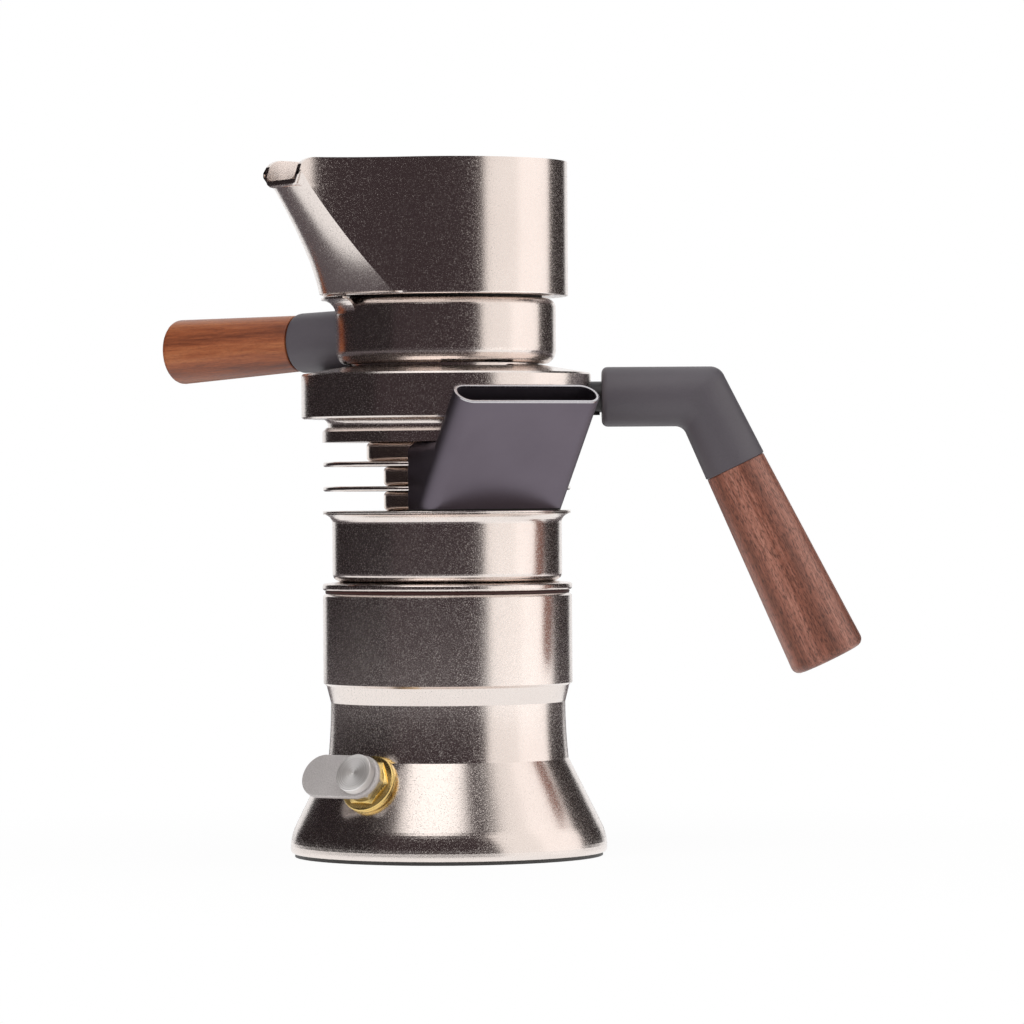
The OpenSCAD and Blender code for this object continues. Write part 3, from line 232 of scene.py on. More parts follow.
# Painted reflection: a darker, warmer copy of the nickel whose tint stands for warm surroundings reflected in the
# spacers
SPACER_PAINTED_WARM_METAL = blasted_metal("spacer_painted_warm_nickel", (0.92, 0.8, 0.72), (0.68, 0.56, 0.49),
                             rough=(0.14, 0.24), strength=0.03)
TAB_STEEL = blasted_metal("blasted_steel", (0.72, 0.685, 0.675), (0.5, 0.47, 0.46),
                          rough=(0.5, 0.6), strength=0.06, metallic=0.5)
STEEL = plain_metal("brushed_steel", (0.66, 0.635, 0.625), (0.55, 0.53, 0.52), rough=(0.26, 0.36))
BRASS = plain_metal("machined_brass", (0.93, 0.7, 0.29), (0.82, 0.58, 0.2), rough=(0.2, 0.32))
COPPER = plain_metal("drawn_copper", (0.8, 0.46, 0.3), (0.66, 0.36, 0.22), rough=(0.2, 0.34))
# Painted highlight: light metal for the strip that stands for the edge highlight on the duct's mouth
DUCT_RIM_HIGHLIGHT = plain_metal("duct_mouth_painted_highlight", (0.72, 0.7, 0.72), (0.58, 0.56, 0.58), rough=(0.2, 0.3))
BOWTIE_PAINTED_STEEL = turned_face_painted_bowtie("spun_cap_steel_painted_bowtie", (0.92, 0.9, 0.885), (0.5, 0.475, 0.46))
PLATE = coated("dark_plate", (0.05, 0.047, 0.045), (0.032, 0.03, 0.029), rough=(0.4, 0.55))
MAROON = coated("maroon_rubber", (0.062, 0.018, 0.014), (0.04, 0.011, 0.009), rough=(0.5, 0.65))
RUBBER = coated("black_rubber", (0.022, 0.021, 0.021), (0.013, 0.013, 0.013), rough=(0.55, 0.7))
DUCT = coated("duct_coating", (0.2, 0.172, 0.207), (0.165, 0.141, 0.171),
              rough=(0.46, 0.57), grain=2100, strength=0.06, metallic=1.0)
GREY = coated("grey_fitting", (0.098, 0.087, 0.1), (0.08, 0.071, 0.082),
              rough=(0.42, 0.55), grain=1500, strength=0.09)
STUD = coated("dark_stud", (0.035, 0.033, 0.034), (0.022, 0.021, 0.022), rough=(0.3, 0.42), metallic=0.4)
WALNUT_TONES = ((0.1, 0.03, 0.015), (0.25, 0.083, 0.05), (0.43, 0.185, 0.13), (0.042, 0.011, 0.005))
AMBER_TONES = ((0.125, 0.028, 0.009), (0.28, 0.073, 0.022), (0.42, 0.142, 0.05), (0.07, 0.016, 0.006))
MAIN_WOOD = walnut("walnut_main", WALNUT_TONES, shift=(0.005, 0.02, 0), pore_depth=0.75)
SIDE_WOOD = walnut("walnut_side", AMBER_TONES, shift=(0.004, 0.05, 0), pore_depth=0.25)

NODE_MATERIALS = (
    (NICKEL, ("boiler_base", "upper_boiler", "group_plate", "group_head", "portafilter_ring", "jug")),
    (FIN_METAL, ("upper_lid", "fin_lower", "fin_upper")),
    (SPACER_PAINTED_WARM_METAL, ("spacer_lower", "spacer_middle", "spacer_upper")),
    (STEEL, ("riser_tube", "dip_tube", "shower_screen", "shower_screw", "filter_basket", "basket_clip",
             "coffee_column", "column_nut", "column_cap", "valve_body", "valve_cap", "valve_tab",
             "valve_poppet", "valve_spring", "brew_valve_spring", "brew_valve_ball", "handle_rod",
             "side_stud")),
    (BRASS, ("valve_bush", "valve_washer", "brew_valve_body")),
    (COPPER, ("cooling_coil",)),
    (PLATE, ("base_plate",)),
    (MAROON, ("base_seal",)),
    (RUBBER, ("duct_seal", "group_seal", "jug_seal")),
    (DUCT, ("fill_duct",)),
    (GREY, ("handle_elbow", "side_ferrule")),
    (STUD, ("handle_stud", "stud_lock_screw")),
    (MAIN_WOOD, ("handle_grip",)),
    (SIDE_WOOD, ("side_grip",)),
)
for node_material, node_names in NODE_MATERIALS:
    for node_name in node_names:
        node_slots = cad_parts[node_name].data.materials
        node_slots.clear()
        node_slots.append(node_material)


# Meshes: every piece is a grid of rings, in millimetres
SHARP_ANGLE, MERGE_DISTANCE, SHORTEST_EDGE = math.radians(32), 1e-6, 1e-7
CORNER_STEPS, TURNED_COLUMNS = 5, 96


def ring_faces(rings, columns, closed):
    """Quads between rings that follow each other, each ring a closed loop of columns."""
    pairs = [(i, i + 1) for i in range(rings - 1)] + ([(rings - 1, 0)] if closed else [])
    return [(a * columns + k, a * columns + (k + 1) % columns,
             b * columns + (k + 1) % columns, b * columns + k)
            for a, b in pairs for k in range(columns)]


def piece(name, rings, material, body, nodes=(), matrix=None, closed=False, capped=False,
          sharp=SHARP_ANGLE):
    """A smooth mesh piece that rides on a body and stands for CAD nodes.

    A closed piece joins its last ring to its first, a capped one has a face on both end rings.
    """
    columns = len(rings[0])
    points = [tuple(c * MM for c in p) for ring in rings for p in ring]
    faces = ring_faces(len(rings), columns, closed)
    if capped:
        faces += [tuple(range(columns)), tuple((len(rings) - 1) * columns + k for k in range(columns))]
    mesh = bpy.data.meshes.new(name)
    mesh.from_pydata(points, [], faces)
    work = bmesh.new()
    work.from_mesh(mesh)
    bmesh.ops.remove_doubles(work, verts=work.verts, dist=MERGE_DISTANCE)
    bmesh.ops.dissolve_degenerate(work, edges=work.edges, dist=SHORTEST_EDGE)
    bmesh.ops.recalc_face_normals(work, faces=work.faces)
    work.to_mesh(mesh)
    work.free()
    mesh.polygons.foreach_set("use_smooth", [True] * len(mesh.polygons))
    mesh.set_sharp_from_angle(angle=sharp)
    mesh.materials.append(material)
    made = bpy.data.objects.new(name, mesh)
    bpy.context.scene.collection.objects.link(made)
    if matrix is not None:
        made.matrix_world = matrix
    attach(made, body)
    if nodes:
        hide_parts(*nodes)
    return made


def whole_turn(columns):
    """Angles of one whole turn."""
    return [2 * math.pi * k / columns for k in range(columns)]


def quarter_turn(steps):
    """Angles from 0 to 90 degrees, both included."""
    return [math.pi / 2 * k / steps for k in range(steps + 1)]


def round_ring(r, z, columns):
    return [(r * math.cos(t), r * math.sin(t), z) for t in whole_turn(columns)]


def rounded_profile(*corners):
    """Profile points from corners (x, y, radius), each corner rounded with its radius."""
    made = []
    for i, (x, y, r) in enumerate(corners):
        p = Vector((x, y))
        if not r:
            made.append((x, y))
            continue
        u = (Vector(corners[i - 1][:2]) - p).normalized()
        v = (Vector(corners[(i + 1) % len(corners)][:2]) - p).normalized()
        half = math.acos(max(-1.0, min(1.0, u.dot(v)))) / 2
        centre = p + (u + v).normalized() * (r / math.sin(half))
        first = p + u * (r / math.tan(half)) - centre
        last = p + v * (r / math.tan(half)) - centre
        start = math.atan2(first.y, first.x)
        turn = (math.atan2(last.y, last.x) - start + math.pi) % (2 * math.pi) - math.pi
        made += [(centre.x + r * math.cos(a), centre.y + r * math.sin(a))
                 for a in (start + turn * k / CORNER_STEPS for k in range(CORNER_STEPS + 1))]
    return made


def turned(name, profile, material, body, nodes, matrix, closed=False):
    """Piece about its own Z from (radius, height) points."""
    rings = [round_ring(r, z, TURNED_COLUMNS) for r, z in profile]
    return piece(name, rings, material, body, nodes, matrix, closed)


# Jug: outer and inner walls as one closed grid of rings, with upright flanks that curve into the spout
JUG_R, JUG_WALL, JUG_Z, JUG_FLOOR, JUG_TOP = 46.5, 2.0, 212.0, 214.5, 262.8
JUG_FOOT_ROUND, JUG_FLOOR_ROUND, JUG_SHARP, COLUMN_HOLE_R = 0.5, 1.2, math.radians(20), 5.15
SPOUT_AZIMUTH, SPOUT_REACH, SPOUT_SPREAD = math.radians(210), 70.3, math.radians(45)
SPOUT_LOW, SPOUT_ROOT_X, SPOUT_THROAT_X = 213.0, 38.2, 65.5
ROOT_BULGE, THROAT_BULGE, ROOT_SOFT, KEEL_CURVE = 11.0, 3.4, 1.4, 2.3
KEEL_ROUND, KEEL_START, KEEL_FADE = 5.5, 61.0, 0.2
LIP_HALF, LIP_UNDER, LIP_ROUND, LIP_EDGE, LIP_WALL, LIP_THICK_FROM = 14.1, 252.2, 6.5, 1.4, 2.8, 54.0
TROUGH_SIDE, TROUGH_RISE, TROUGH_SINK = 5.0, 1.9, 0.2
TROUGH_Z = LIP_UNDER + LIP_WALL - TROUGH_SINK
LIP_STEP, INNER_STEP = 0.05, 0.1
ROUND_COLUMNS, FLANK_COLUMNS, FRONT_COLUMNS, SPOUT_RINGS, EDGE_STEPS = 120, 28, 24, 48, 3
LIP_IN_SHARE = (LIP_HALF - LIP_WALL) / LIP_HALF
LIP_SIDE_SHARES = [LIP_IN_SHARE, 1.0]
FRONT_SHARES = ([-s for s in reversed(LIP_SIDE_SHARES)]
                + [(2 * i / FRONT_COLUMNS - 1) * LIP_IN_SHARE for i in range(FRONT_COLUMNS + 1)]
                + LIP_SIDE_SHARES)


def flank(inset, x):
    """Points in plan from the jug's wall along a flank to where it is x from the axis."""
    r, half = JUG_R - inset, LIP_HALF - inset
    start = Vector((r * math.cos(SPOUT_SPREAD), r * math.sin(SPOUT_SPREAD)))
    turn = Vector((start.x + (start.y - half) * math.tan(SPOUT_SPREAD), half))
    end = Vector((SPOUT_REACH, half))
    a, b, c = start.x - 2 * turn.x + end.x, 2 * (turn.x - start.x), start.x - x
    last = -2 * c / (b + math.sqrt(b * b - 4 * a * c))
    shares = [last * i / FLANK_COLUMNS for i in range(FLANK_COLUMNS + 1)]
    return [start * (1 - t) ** 2 + turn * (2 * t * (1 - t)) + end * t * t for t in shares]


def outline(front, bulge, inset, lip=False):
    """One level of the jug in plan, in the spout's own frame: the circle with the spout grown out of it."""
    r = JUG_R - inset
    x = front if lip else front - inset
    side = flank(inset, x)
    y = side[-1].y
    arc = 2 * math.pi - 2 * SPOUT_SPREAD
    points = [(r * math.cos(a), r * math.sin(a))
              for a in (SPOUT_SPREAD + arc * i / ROUND_COLUMNS for i in range(ROUND_COLUMNS + 1))]
    spout = [(p.x, -p.y, 0.0) for p in side[1:-1]]
    for s in FRONT_SHARES:
        if lip and inset:
            s = max(-1.0, min(1.0, s / LIP_IN_SHARE))
        spout.append((x + bulge * (1 - s * s), y * s, ROOT_SOFT * (1 - s * s)))
    spout += [(p.x, p.y, 0.0) for p in reversed(side[1:-1])]
    for px, py, soft in spout:
        far = math.hypot(px, py)
        past = far - r
        blend = max(0.0, soft - abs(past)) ** 2 / (4 * soft) if soft > 0 else 0.0
        near = r + max(0.0, past) + blend
        points.append((px * near / far, py * near / far))
    return points


def spout_level(u, inset):
    """Outline at a share u of the way from the spout's root up to its throat."""
    return outline(SPOUT_ROOT_X + (SPOUT_THROAT_X - SPOUT_ROOT_X) * u,
                   THROAT_BULGE + (ROOT_BULGE - THROAT_BULGE) * (1 - u) ** KEEL_CURVE, inset)


def lip_height(x):
    """Top edge, rounded down at the tip of the lip."""
    past = max(0.0, x - SPOUT_REACH + LIP_ROUND)
    return JUG_TOP - LIP_ROUND + math.sqrt(max(0.0, LIP_ROUND ** 2 - past ** 2))


def trough_height(y):
    """Pouring edge between the lip's sides, curved up towards them."""
    past = max(0.0, abs(y) - LIP_HALF + LIP_WALL + TROUGH_SIDE) / TROUGH_SIDE
    return TROUGH_Z + TROUGH_RISE * (1 - math.sqrt(max(0.0, 1 - past ** 2)))


def keel_height(x, y):
    """Rise of the lip's underside towards its sides, which grows towards the tip."""
    past = min(KEEL_ROUND, max(0.0, abs(y) - LIP_HALF + KEEL_ROUND))
    ramp = max(0.0, min(1.0, (x - KEEL_START) / (SPOUT_REACH - LIP_EDGE - KEEL_START)))
    return ramp * ramp * (KEEL_ROUND - math.sqrt(KEEL_ROUND ** 2 - past ** 2))


def build_jug():
    """Rings up the outside from the foot to the lip, and down the inside to the floor."""
    first_trough = ROUND_COLUMNS + FLANK_COLUMNS + len(LIP_SIDE_SHARES)
    last_trough = first_trough + FRONT_COLUMNS
    inner_low, inner_high = JUG_FLOOR + JUG_FLOOR_ROUND + INNER_STEP, TROUGH_Z - INNER_STEP
    thicker = (LIP_WALL - JUG_WALL) / (LIP_HALF - JUG_WALL)

    def level(points, z):
        return [(x, y, z) for x, y in points]

    def circle(r, z, inset):
        return [(x * r / math.hypot(x, y), y * r / math.hypot(x, y), z) for x, y in spout_level(0, inset)]

    def lip_top(points):
        return [(x, y, trough_height(y) if first_trough <= k <= last_trough else lip_height(x))
                for k, (x, y) in enumerate(points)]

    def lip_under(t):
        z = LIP_UNDER + LIP_STEP + LIP_EDGE * (1 - math.cos(t))
        return [(x, y, z + keel_height(x, y) * (1 - KEEL_FADE * math.sin(t)))
                for x, y in outline(SPOUT_REACH - LIP_EDGE * (1 - math.sin(t)), 0, 0, True)]

    def lip_inside():
        return [(x, y * (1 - thicker * max(0.0, x - LIP_THICK_FROM) / (SPOUT_REACH - LIP_THICK_FROM)))
                for x, y in outline(SPOUT_REACH, 0, JUG_WALL, True)]

    rings = [circle(COLUMN_HOLE_R, JUG_Z, 0)]
    rings += [circle(JUG_R - JUG_FOOT_ROUND * (1 - math.sin(t)), JUG_Z + JUG_FOOT_ROUND * (1 - math.cos(t)), 0)
              for t in quarter_turn(EDGE_STEPS)]
    rings += [level(spout_level(i / SPOUT_RINGS, 0), SPOUT_LOW + (LIP_UNDER - SPOUT_LOW) * i / SPOUT_RINGS)
              for i in range(SPOUT_RINGS + 1)]
    rings += [lip_under(t) for t in quarter_turn(EDGE_STEPS)]
    rings += [lip_top(outline(SPOUT_REACH, 0, 0, True)), lip_top(lip_inside()), level(lip_inside(), TROUGH_Z)]
    rings += [level(spout_level(i / SPOUT_RINGS, JUG_WALL), inner_low + (inner_high - inner_low) * i / SPOUT_RINGS)
              for i in range(SPOUT_RINGS, -1, -1)]
    rings += [circle(JUG_R - JUG_WALL - JUG_FLOOR_ROUND * (1 - math.cos(t)),
                     JUG_FLOOR + JUG_FLOOR_ROUND * (1 - math.sin(t)), JUG_WALL)
              for t in quarter_turn(EDGE_STEPS)]
    rings += [circle(COLUMN_HOLE_R, JUG_FLOOR, JUG_WALL)]
    turn = Matrix.Rotation(SPOUT_AZIMUTH, 3, "Z")
    rings = [[turn @ Vector(p) for p in ring] for ring in rings]
    return piece("jug_body", rings, NICKEL, "portafilter", ("jug",), closed=True, sharp=JUG_SHARP)


build_jug()

# Elbow of the main handle: skin lines rounded where they pass the bend
HANDLE_LEAN, HANDLE_Z, BEND_X = math.radians(25.7), 173.7, 96.8
ELBOW_X, ELBOW_R, ELBOW_END_R, ELBOW_DROP, ELBOW_EDGE, ELBOW_END_EDGE = 59.0, 11.35, 12.1, 29.5, 2.2, 0.35
ELBOW_STUD_R, ELBOW_ROD_R = 4.0, 4.15
BEND_INNER_R, BEND_OUTER_R = 4.4, 5.8
ELBOW_SIDES, ELBOW_STEPS, ELBOW_EDGE_STEPS = 96, 14, 4


def build_elbow():
    """Rings from the stud's end along the first arm, round the bend and down to the grip."""
    turns = whole_turn(ELBOW_SIDES)
    bend = math.pi / 2 - HANDLE_LEAN
    cut = math.tan(bend / 2)
    arm_1, above_1 = Vector((1, 0, 0)), Vector((0, 0, 1))
    arm_2 = Vector((math.sin(HANDLE_LEAN), 0, -math.cos(HANDLE_LEAN)))
    above_2 = Vector((math.cos(HANDLE_LEAN), 0, math.sin(HANDLE_LEAN)))
    start, corner = Vector((ELBOW_X, 0, HANDLE_Z)), Vector((BEND_X, 0, HANDLE_Z))
    end = corner + arm_2 * ELBOW_DROP

    def straight(at, above, r):
        return [at + above * (r * math.cos(t)) + Vector((0, r * math.sin(t), 0)) for t in turns]

    def bent(t, a):
        """Point of the skin line at turn t, at angle a of the bend."""
        h, y = ELBOW_R * math.cos(t), ELBOW_R * math.sin(t)
        r = BEND_INNER_R + (BEND_OUTER_R - BEND_INNER_R) * (h / ELBOW_R + 1) / 2
        centre = corner + (above_1 + arm_1 * cut) * h - arm_1 * (r * cut) - above_1 * r
        return centre + (above_1 * math.cos(a) + arm_1 * math.sin(a)) * r + Vector((0, y, 0))

    rings = [straight(start, above_1, ELBOW_STUD_R)]
    rings += [straight(start + arm_1 * ELBOW_EDGE * (1 - math.cos(t)), above_1,
                       ELBOW_R - ELBOW_EDGE * (1 - math.sin(t))) for t in quarter_turn(ELBOW_EDGE_STEPS)]
    rings += [[bent(t, bend * j / ELBOW_STEPS) for t in turns] for j in range(ELBOW_STEPS + 1)]
    rings += [straight(end - arm_2 * ELBOW_END_EDGE, above_2, ELBOW_END_R),
              straight(end, above_2, ELBOW_END_R - ELBOW_END_EDGE),
              straight(end, above_2, ELBOW_ROD_R)]
    return piece("elbow", rings, GREY, "upper", ("handle_elbow",))


build_elbow()

# Walnut grips and the ferrule of the side handle, each along its own Z
GRIP_END, GRIP_ROOT_R, GRIP_END_R, GRIP_ROUND, GRIP_ROOT_ROUND = 111.1, 11.8, 14.7, 3.0, 0.6
main_axis = (Matrix.Translation(Vector((BEND_X, 0, HANDLE_Z)) * MM)
             @ Matrix.Rotation(math.pi - HANDLE_LEAN, 4, "Y"))
turned("main_grip", rounded_profile((0, ELBOW_DROP, 0), (GRIP_ROOT_R, ELBOW_DROP, GRIP_ROOT_ROUND),
                                    (GRIP_END_R, GRIP_END, GRIP_ROUND), (0, GRIP_END, 0)),
       MAIN_WOOD, "upper", ("handle_grip",), main_axis)

SIDE_AZIMUTH, SIDE_FALL, SIDE_Z = math.radians(150), math.radians(2.5), 198.4
SIDE_END, SIDE_ROOT_R, SIDE_END_R = 122.2, 10.8, 12.6
SADDLE_R, FERRULE_R, FERRULE_END, FERRULE_ROUND = 41.9, 11.5, 65.8, 2.4
side_axis = (Matrix.Rotation(SIDE_AZIMUTH, 4, "Z") @ Matrix.Translation((0, 0, SIDE_Z * MM))
             @ Matrix.Rotation(math.pi / 2 + SIDE_FALL, 4, "Y"))
turned("side_grip_wood", rounded_profile((0, FERRULE_END, 0), (SIDE_ROOT_R, FERRULE_END, GRIP_ROOT_ROUND),
                                         (SIDE_END_R, SIDE_END, GRIP_ROUND), (0, SIDE_END, 0)),
       SIDE_WOOD, "portafilter", ("side_grip",), side_axis)


def build_ferrule():
    """Round fitting whose inner end is cut to the ring that it sits on."""
    saddle = [(x, y, math.sqrt(SADDLE_R ** 2 - y ** 2)) for x, y, _ in round_ring(FERRULE_R, 0, TURNED_COLUMNS)]
    outer = rounded_profile((FERRULE_R, SADDLE_R, 0), (FERRULE_R, FERRULE_END, FERRULE_ROUND), (0, FERRULE_END, 0))
    rings = [round_ring(0, SADDLE_R, TURNED_COLUMNS), saddle]
    rings += [round_ring(r, z, TURNED_COLUMNS) for r, z in outer[1:]]
    return piece("side_ferrule_cone", rings, GREY, "portafilter", ("side_ferrule",), side_axis)


build_ferrule()

# Fill duct: light metal strip around its mouth that paints the highlight on the mouth's edge, as a profile of
# (outwards, along the duct)
DUCT_AZIMUTH, DUCT_LEAN, DUCT_X, DUCT_Z = math.radians(300), math.radians(35), 31.22, 131.6
DUCT_RISE, DUCT_W, DUCT_T = 42.8, 61.0, 11.5
RIM_PROFILE = ((0.04, -0.5), (0.02, -0.06), (-0.3, 0.06), (-0.9, 0.06), (-1.22, -0.06), (-1.24, -0.5))
RIM_ARC_STEPS, RIM_STRAIGHT_STEPS = 24, 10


def build_duct_highlight_rim():
    """The highlight strip's profile led round the duct's flat oval."""
    half = (DUCT_W - DUCT_T) / 2
    rings = []
    for grow, rise in RIM_PROFILE:
        r, z = DUCT_T / 2 + grow, DUCT_RISE / math.cos(DUCT_LEAN) + rise
        ring = []
        for side in (1, -1):
            for k in range(RIM_ARC_STEPS + 1):
                a = side * math.pi / 2 - math.pi / 2 + math.pi * k / RIM_ARC_STEPS
                ring.append((r * math.cos(a), side * half + r * math.sin(a), z))
            ring += [(-side * r, side * (half - 2 * half * k / RIM_STRAIGHT_STEPS), z)
                     for k in range(1, RIM_STRAIGHT_STEPS)]
        rings.append(ring)
    duct_axis = (Matrix.Rotation(DUCT_AZIMUTH, 4, "Z") @ Matrix.Translation(Vector((DUCT_X, 0, DUCT_Z)) * MM)
                 @ Matrix.Rotation(DUCT_LEAN, 4, "Y"))
    return piece("duct_highlight_rim", rings, DUCT_RIM_HIGHLIGHT, "upper", matrix=duct_axis, closed=True)


build_duct_highlight_rim()

# Safety valve along its own Z, from its seat on the flare: brass bush, chamfered nut, finger tab and spun cap
VALVE_SEAT, VALVE_AZIMUTH, VALVE_LEAN = (-28.499, -40.7, 28.8), math.radians(235), math.radians(63.514)
COLLAR_BORE, COLLAR_R, COLLAR_LOW, COLLAR_HIGH, COLLAR_ROUND, COLLAR_FOOT_ROUND = 5.2, 11.2, -0.1, 2.5, 0.6, 0.3
COLLAR_GROOVE_Z, COLLAR_GROOVE_HALF, COLLAR_GROOVE_DEEP = 1.25, 0.25, 0.3
NUT_CONE, NUT_CONE_INSET, NUT_CHAMFER, NUT_SHARP = math.radians(30), 0.25, 1.2, math.radians(12)
NUT_COLUMNS, NUT_STEPS = 144, 8
TAB_R, TAB_REACH, TAB_LOW, TAB_HIGH, TAB_EDGE, TAB_ARC_STEPS, TAB_EDGE_STEPS = 8.5, 26.0, 6.4, 8.8, 0.6, 40, 4
HEAD_R, HEAD_LOW, HEAD_HIGH, HEAD_ROUND, HEAD_FOOT_ROUND = 7.5, 8.9, 12.4, 0.5, 0.3
HEAD_GROOVE_R, HEAD_GROOVE_HALF, HEAD_GROOVE_DEEP = 6.6, 0.15, 0.12
DIMPLE_R, DIMPLE_DEEP, DIMPLE_HALF_DEEP = 0.7, 0.3, 0.2
valve_axis = (Matrix.Translation(Vector(VALVE_SEAT) * MM) @ Matrix.Rotation(VALVE_AZIMUTH, 4, "Z")
              @ Matrix.Rotation(VALVE_LEAN, 4, "Y"))


def build_nut(name, across, low, high, bore, room, roof, material, nodes):
    """Nut with a wide room under its roof, which the bore goes through; a cone cuts its upper corners."""
    def side(z):
        cone = across / 2 - NUT_CONE_INSET + (high - z) / math.tan(NUT_CONE)
        ring = []
        for t in whole_turn(NUT_COLUMNS):
            flat = across / 2 / math.cos((t + math.pi / 6) % (math.pi / 3) - math.pi / 6)
            ring.append((min(flat, cone) * math.cos(t), min(flat, cone) * math.sin(t), z))
        return ring

    rings = [round_ring(room, low, NUT_COLUMNS), side(low)]
    rings += [side(high - NUT_CHAMFER * (1 - k / NUT_STEPS)) for k in range(NUT_STEPS + 1)]
    rings += [round_ring(r, z, NUT_COLUMNS) for r, z in ((bore, high), (bore, high - roof), (room, high - roof))]
    return piece(name, rings, material, "base", nodes, valve_axis, closed=True, sharp=NUT_SHARP)


def build_tab():
    """Flat tab with round ends and rounded edges."""
    def loop(lost, z):
        r, far = TAB_R - lost, TAB_R - TAB_REACH
        half_turn = [math.pi * k / TAB_ARC_STEPS for k in range(TAB_ARC_STEPS + 1)]
        return ([(r * math.cos(a), r * math.sin(a), z) for a in half_turn]
                + [(r * math.cos(math.pi + a), far + r * math.sin(math.pi + a), z) for a in half_turn])

    rounds = quarter_turn(TAB_EDGE_STEPS)
    rings = [loop(TAB_EDGE * (1 - math.sin(t)), TAB_LOW + TAB_EDGE * (1 - math.cos(t))) for t in rounds]
    rings += [loop(TAB_EDGE * (1 - math.cos(t)), TAB_HIGH - TAB_EDGE * (1 - math.sin(t))) for t in rounds]
    return piece("valve_finger_tab", rings, TAB_STEEL, "valve_lever", ("valve_tab",), valve_axis,
                 capped=True)


turned("valve_collar", rounded_profile(
    (COLLAR_BORE, COLLAR_LOW, 0), (COLLAR_R, COLLAR_LOW, COLLAR_FOOT_ROUND),
    (COLLAR_R, COLLAR_GROOVE_Z - COLLAR_GROOVE_HALF, 0), (COLLAR_R - COLLAR_GROOVE_DEEP, COLLAR_GROOVE_Z, 0),
    (COLLAR_R, COLLAR_GROOVE_Z + COLLAR_GROOVE_HALF, 0), (COLLAR_R, COLLAR_HIGH, COLLAR_ROUND),
    (COLLAR_BORE, COLLAR_HIGH, 0)),
    BRASS, "base", ("valve_bush",), valve_axis, closed=True)
build_nut("valve_bush_hex", across=16.6, low=2.4, high=3.6, bore=COLLAR_BORE, room=5.4, roof=0.5,
          material=BRASS, nodes=())
build_nut("valve_nut", across=14.0, low=3.5, high=6.3, bore=2.2, room=4.0, roof=0.8,
          material=STEEL, nodes=("valve_body",))
build_tab()
turned("valve_head", rounded_profile(
    (0, HEAD_LOW, 0), (HEAD_R, HEAD_LOW, HEAD_FOOT_ROUND), (HEAD_R, HEAD_HIGH, HEAD_ROUND),
    (HEAD_GROOVE_R + HEAD_GROOVE_HALF, HEAD_HIGH, 0), (HEAD_GROOVE_R, HEAD_HIGH - HEAD_GROOVE_DEEP, 0),
    (HEAD_GROOVE_R - HEAD_GROOVE_HALF, HEAD_HIGH, 0), (DIMPLE_R, HEAD_HIGH, 0),
    (DIMPLE_R / 2, HEAD_HIGH - DIMPLE_HALF_DEEP, 0), (0, HEAD_HIGH - DIMPLE_DEEP, 0)),
    BOWTIE_PAINTED_STEEL, "valve_stem", ("valve_cap",), valve_axis)

# Springs of both valves, wound at one fixed length, each with a mesh of its own
WIRE_R, WIRE_SIDES, STEPS_PER_TURN = 0.3, 8, 24
VALVE_SPRING_R, VALVE_SPRING_LOW, VALVE_SPRING_HIGH, VALVE_TRAVEL = 2.92, 2.5, 5.4, 1.2


def build_spring(name, r, low, high, turns, body, node, matrix=None):
    """Wire wound about the piece's own Z, between two heights."""
    steps = turns * STEPS_PER_TURN
    rings = []
    for i in range(steps + 1):
        a = 2 * math.pi * i / STEPS_PER_TURN
        rise = low + WIRE_R + (high - low - 2 * WIRE_R) * i / steps
        rings.append([((r + WIRE_R * math.cos(t)) * math.cos(a), (r + WIRE_R * math.cos(t)) * math.sin(a),
                       rise + WIRE_R * math.sin(t)) for t in whole_turn(WIRE_SIDES)])
    return piece(name, rings, STEEL, body, (node,), matrix, capped=True)


valve_coil = build_spring("valve_coil", VALVE_SPRING_R, VALVE_SPRING_LOW, VALVE_SPRING_HIGH, turns=2,
                          body="base", node="valve_spring", matrix=valve_axis)
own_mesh(valve_coil)

brew_low, brew_high = (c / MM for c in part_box("brew_valve_spring"))
brew_coil = build_spring("brew_coil", brew_high.x - WIRE_R, brew_low.z, brew_high.z, turns=5,
                         body="upper", node="brew_valve_spring")
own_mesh(brew_coil)

# Stage, in metres: pale floor, soft lamps and dark cards that only the metal sees
WHITE, ROOM_COLOR, ROOM_STRENGTH = (1, 1, 1, 1), (0.95, 0.97, 1.0, 1), 0.45
FLOOR_HALF, FLOOR_COLOR, FLOOR_ROUGHNESS = 9, (0.93, 0.92, 0.92, 1), 0.9
FLOOR_GLOW, FLOOR_NEAR, FLOOR_FAR = 0.95, 0.09, 0.34
AIM = Vector((0, 0, 0.13))
CARD_DISTANCE, CARD_LOW, CARD_STEP = 1.5, 0.004, 5
TABLE_CARD_Z, TABLE_CARD_STEPS = 0.002, 60


def stage_mesh(name, points, faces, material):
    mesh = bpy.data.meshes.new(name)
    mesh.from_pydata(points, [], faces)
    mesh.materials.append(material)
    made = bpy.data.objects.new(name, mesh)
    bpy.context.scene.collection.objects.link(made)
    return made


def white_rays(nodes, links):
    """One where a ray comes from the camera, a reflection or a transmission."""
    path = nodes.new("ShaderNodeLightPath")
    found = path.outputs["Is Camera Ray"]
    for kind in ("Is Glossy Ray", "Is Transmission Ray"):
        either = nodes.new("ShaderNodeMath")
        either.operation = "MAXIMUM"
        links.new(found, either.inputs[0])
        links.new(path.outputs[kind], either.inputs[1])
        found = either.outputs[0]
    return found


def mixed(nodes, links, share, first, second):
    """Shader that goes from the first to the second by a share."""
    made = nodes.new("ShaderNodeMixShader")
    for source, target in zip((share, first, second), made.inputs):
        links.new(source, target)
    return made.outputs[0]


def glowing(nodes, kind, color, strength=1.0):
    """Emission or background with its colour and strength."""
    made = nodes.new(kind)
    made.inputs["Color"].default_value = color
    made.inputs["Strength"].default_value = strength
    return made.outputs[0]


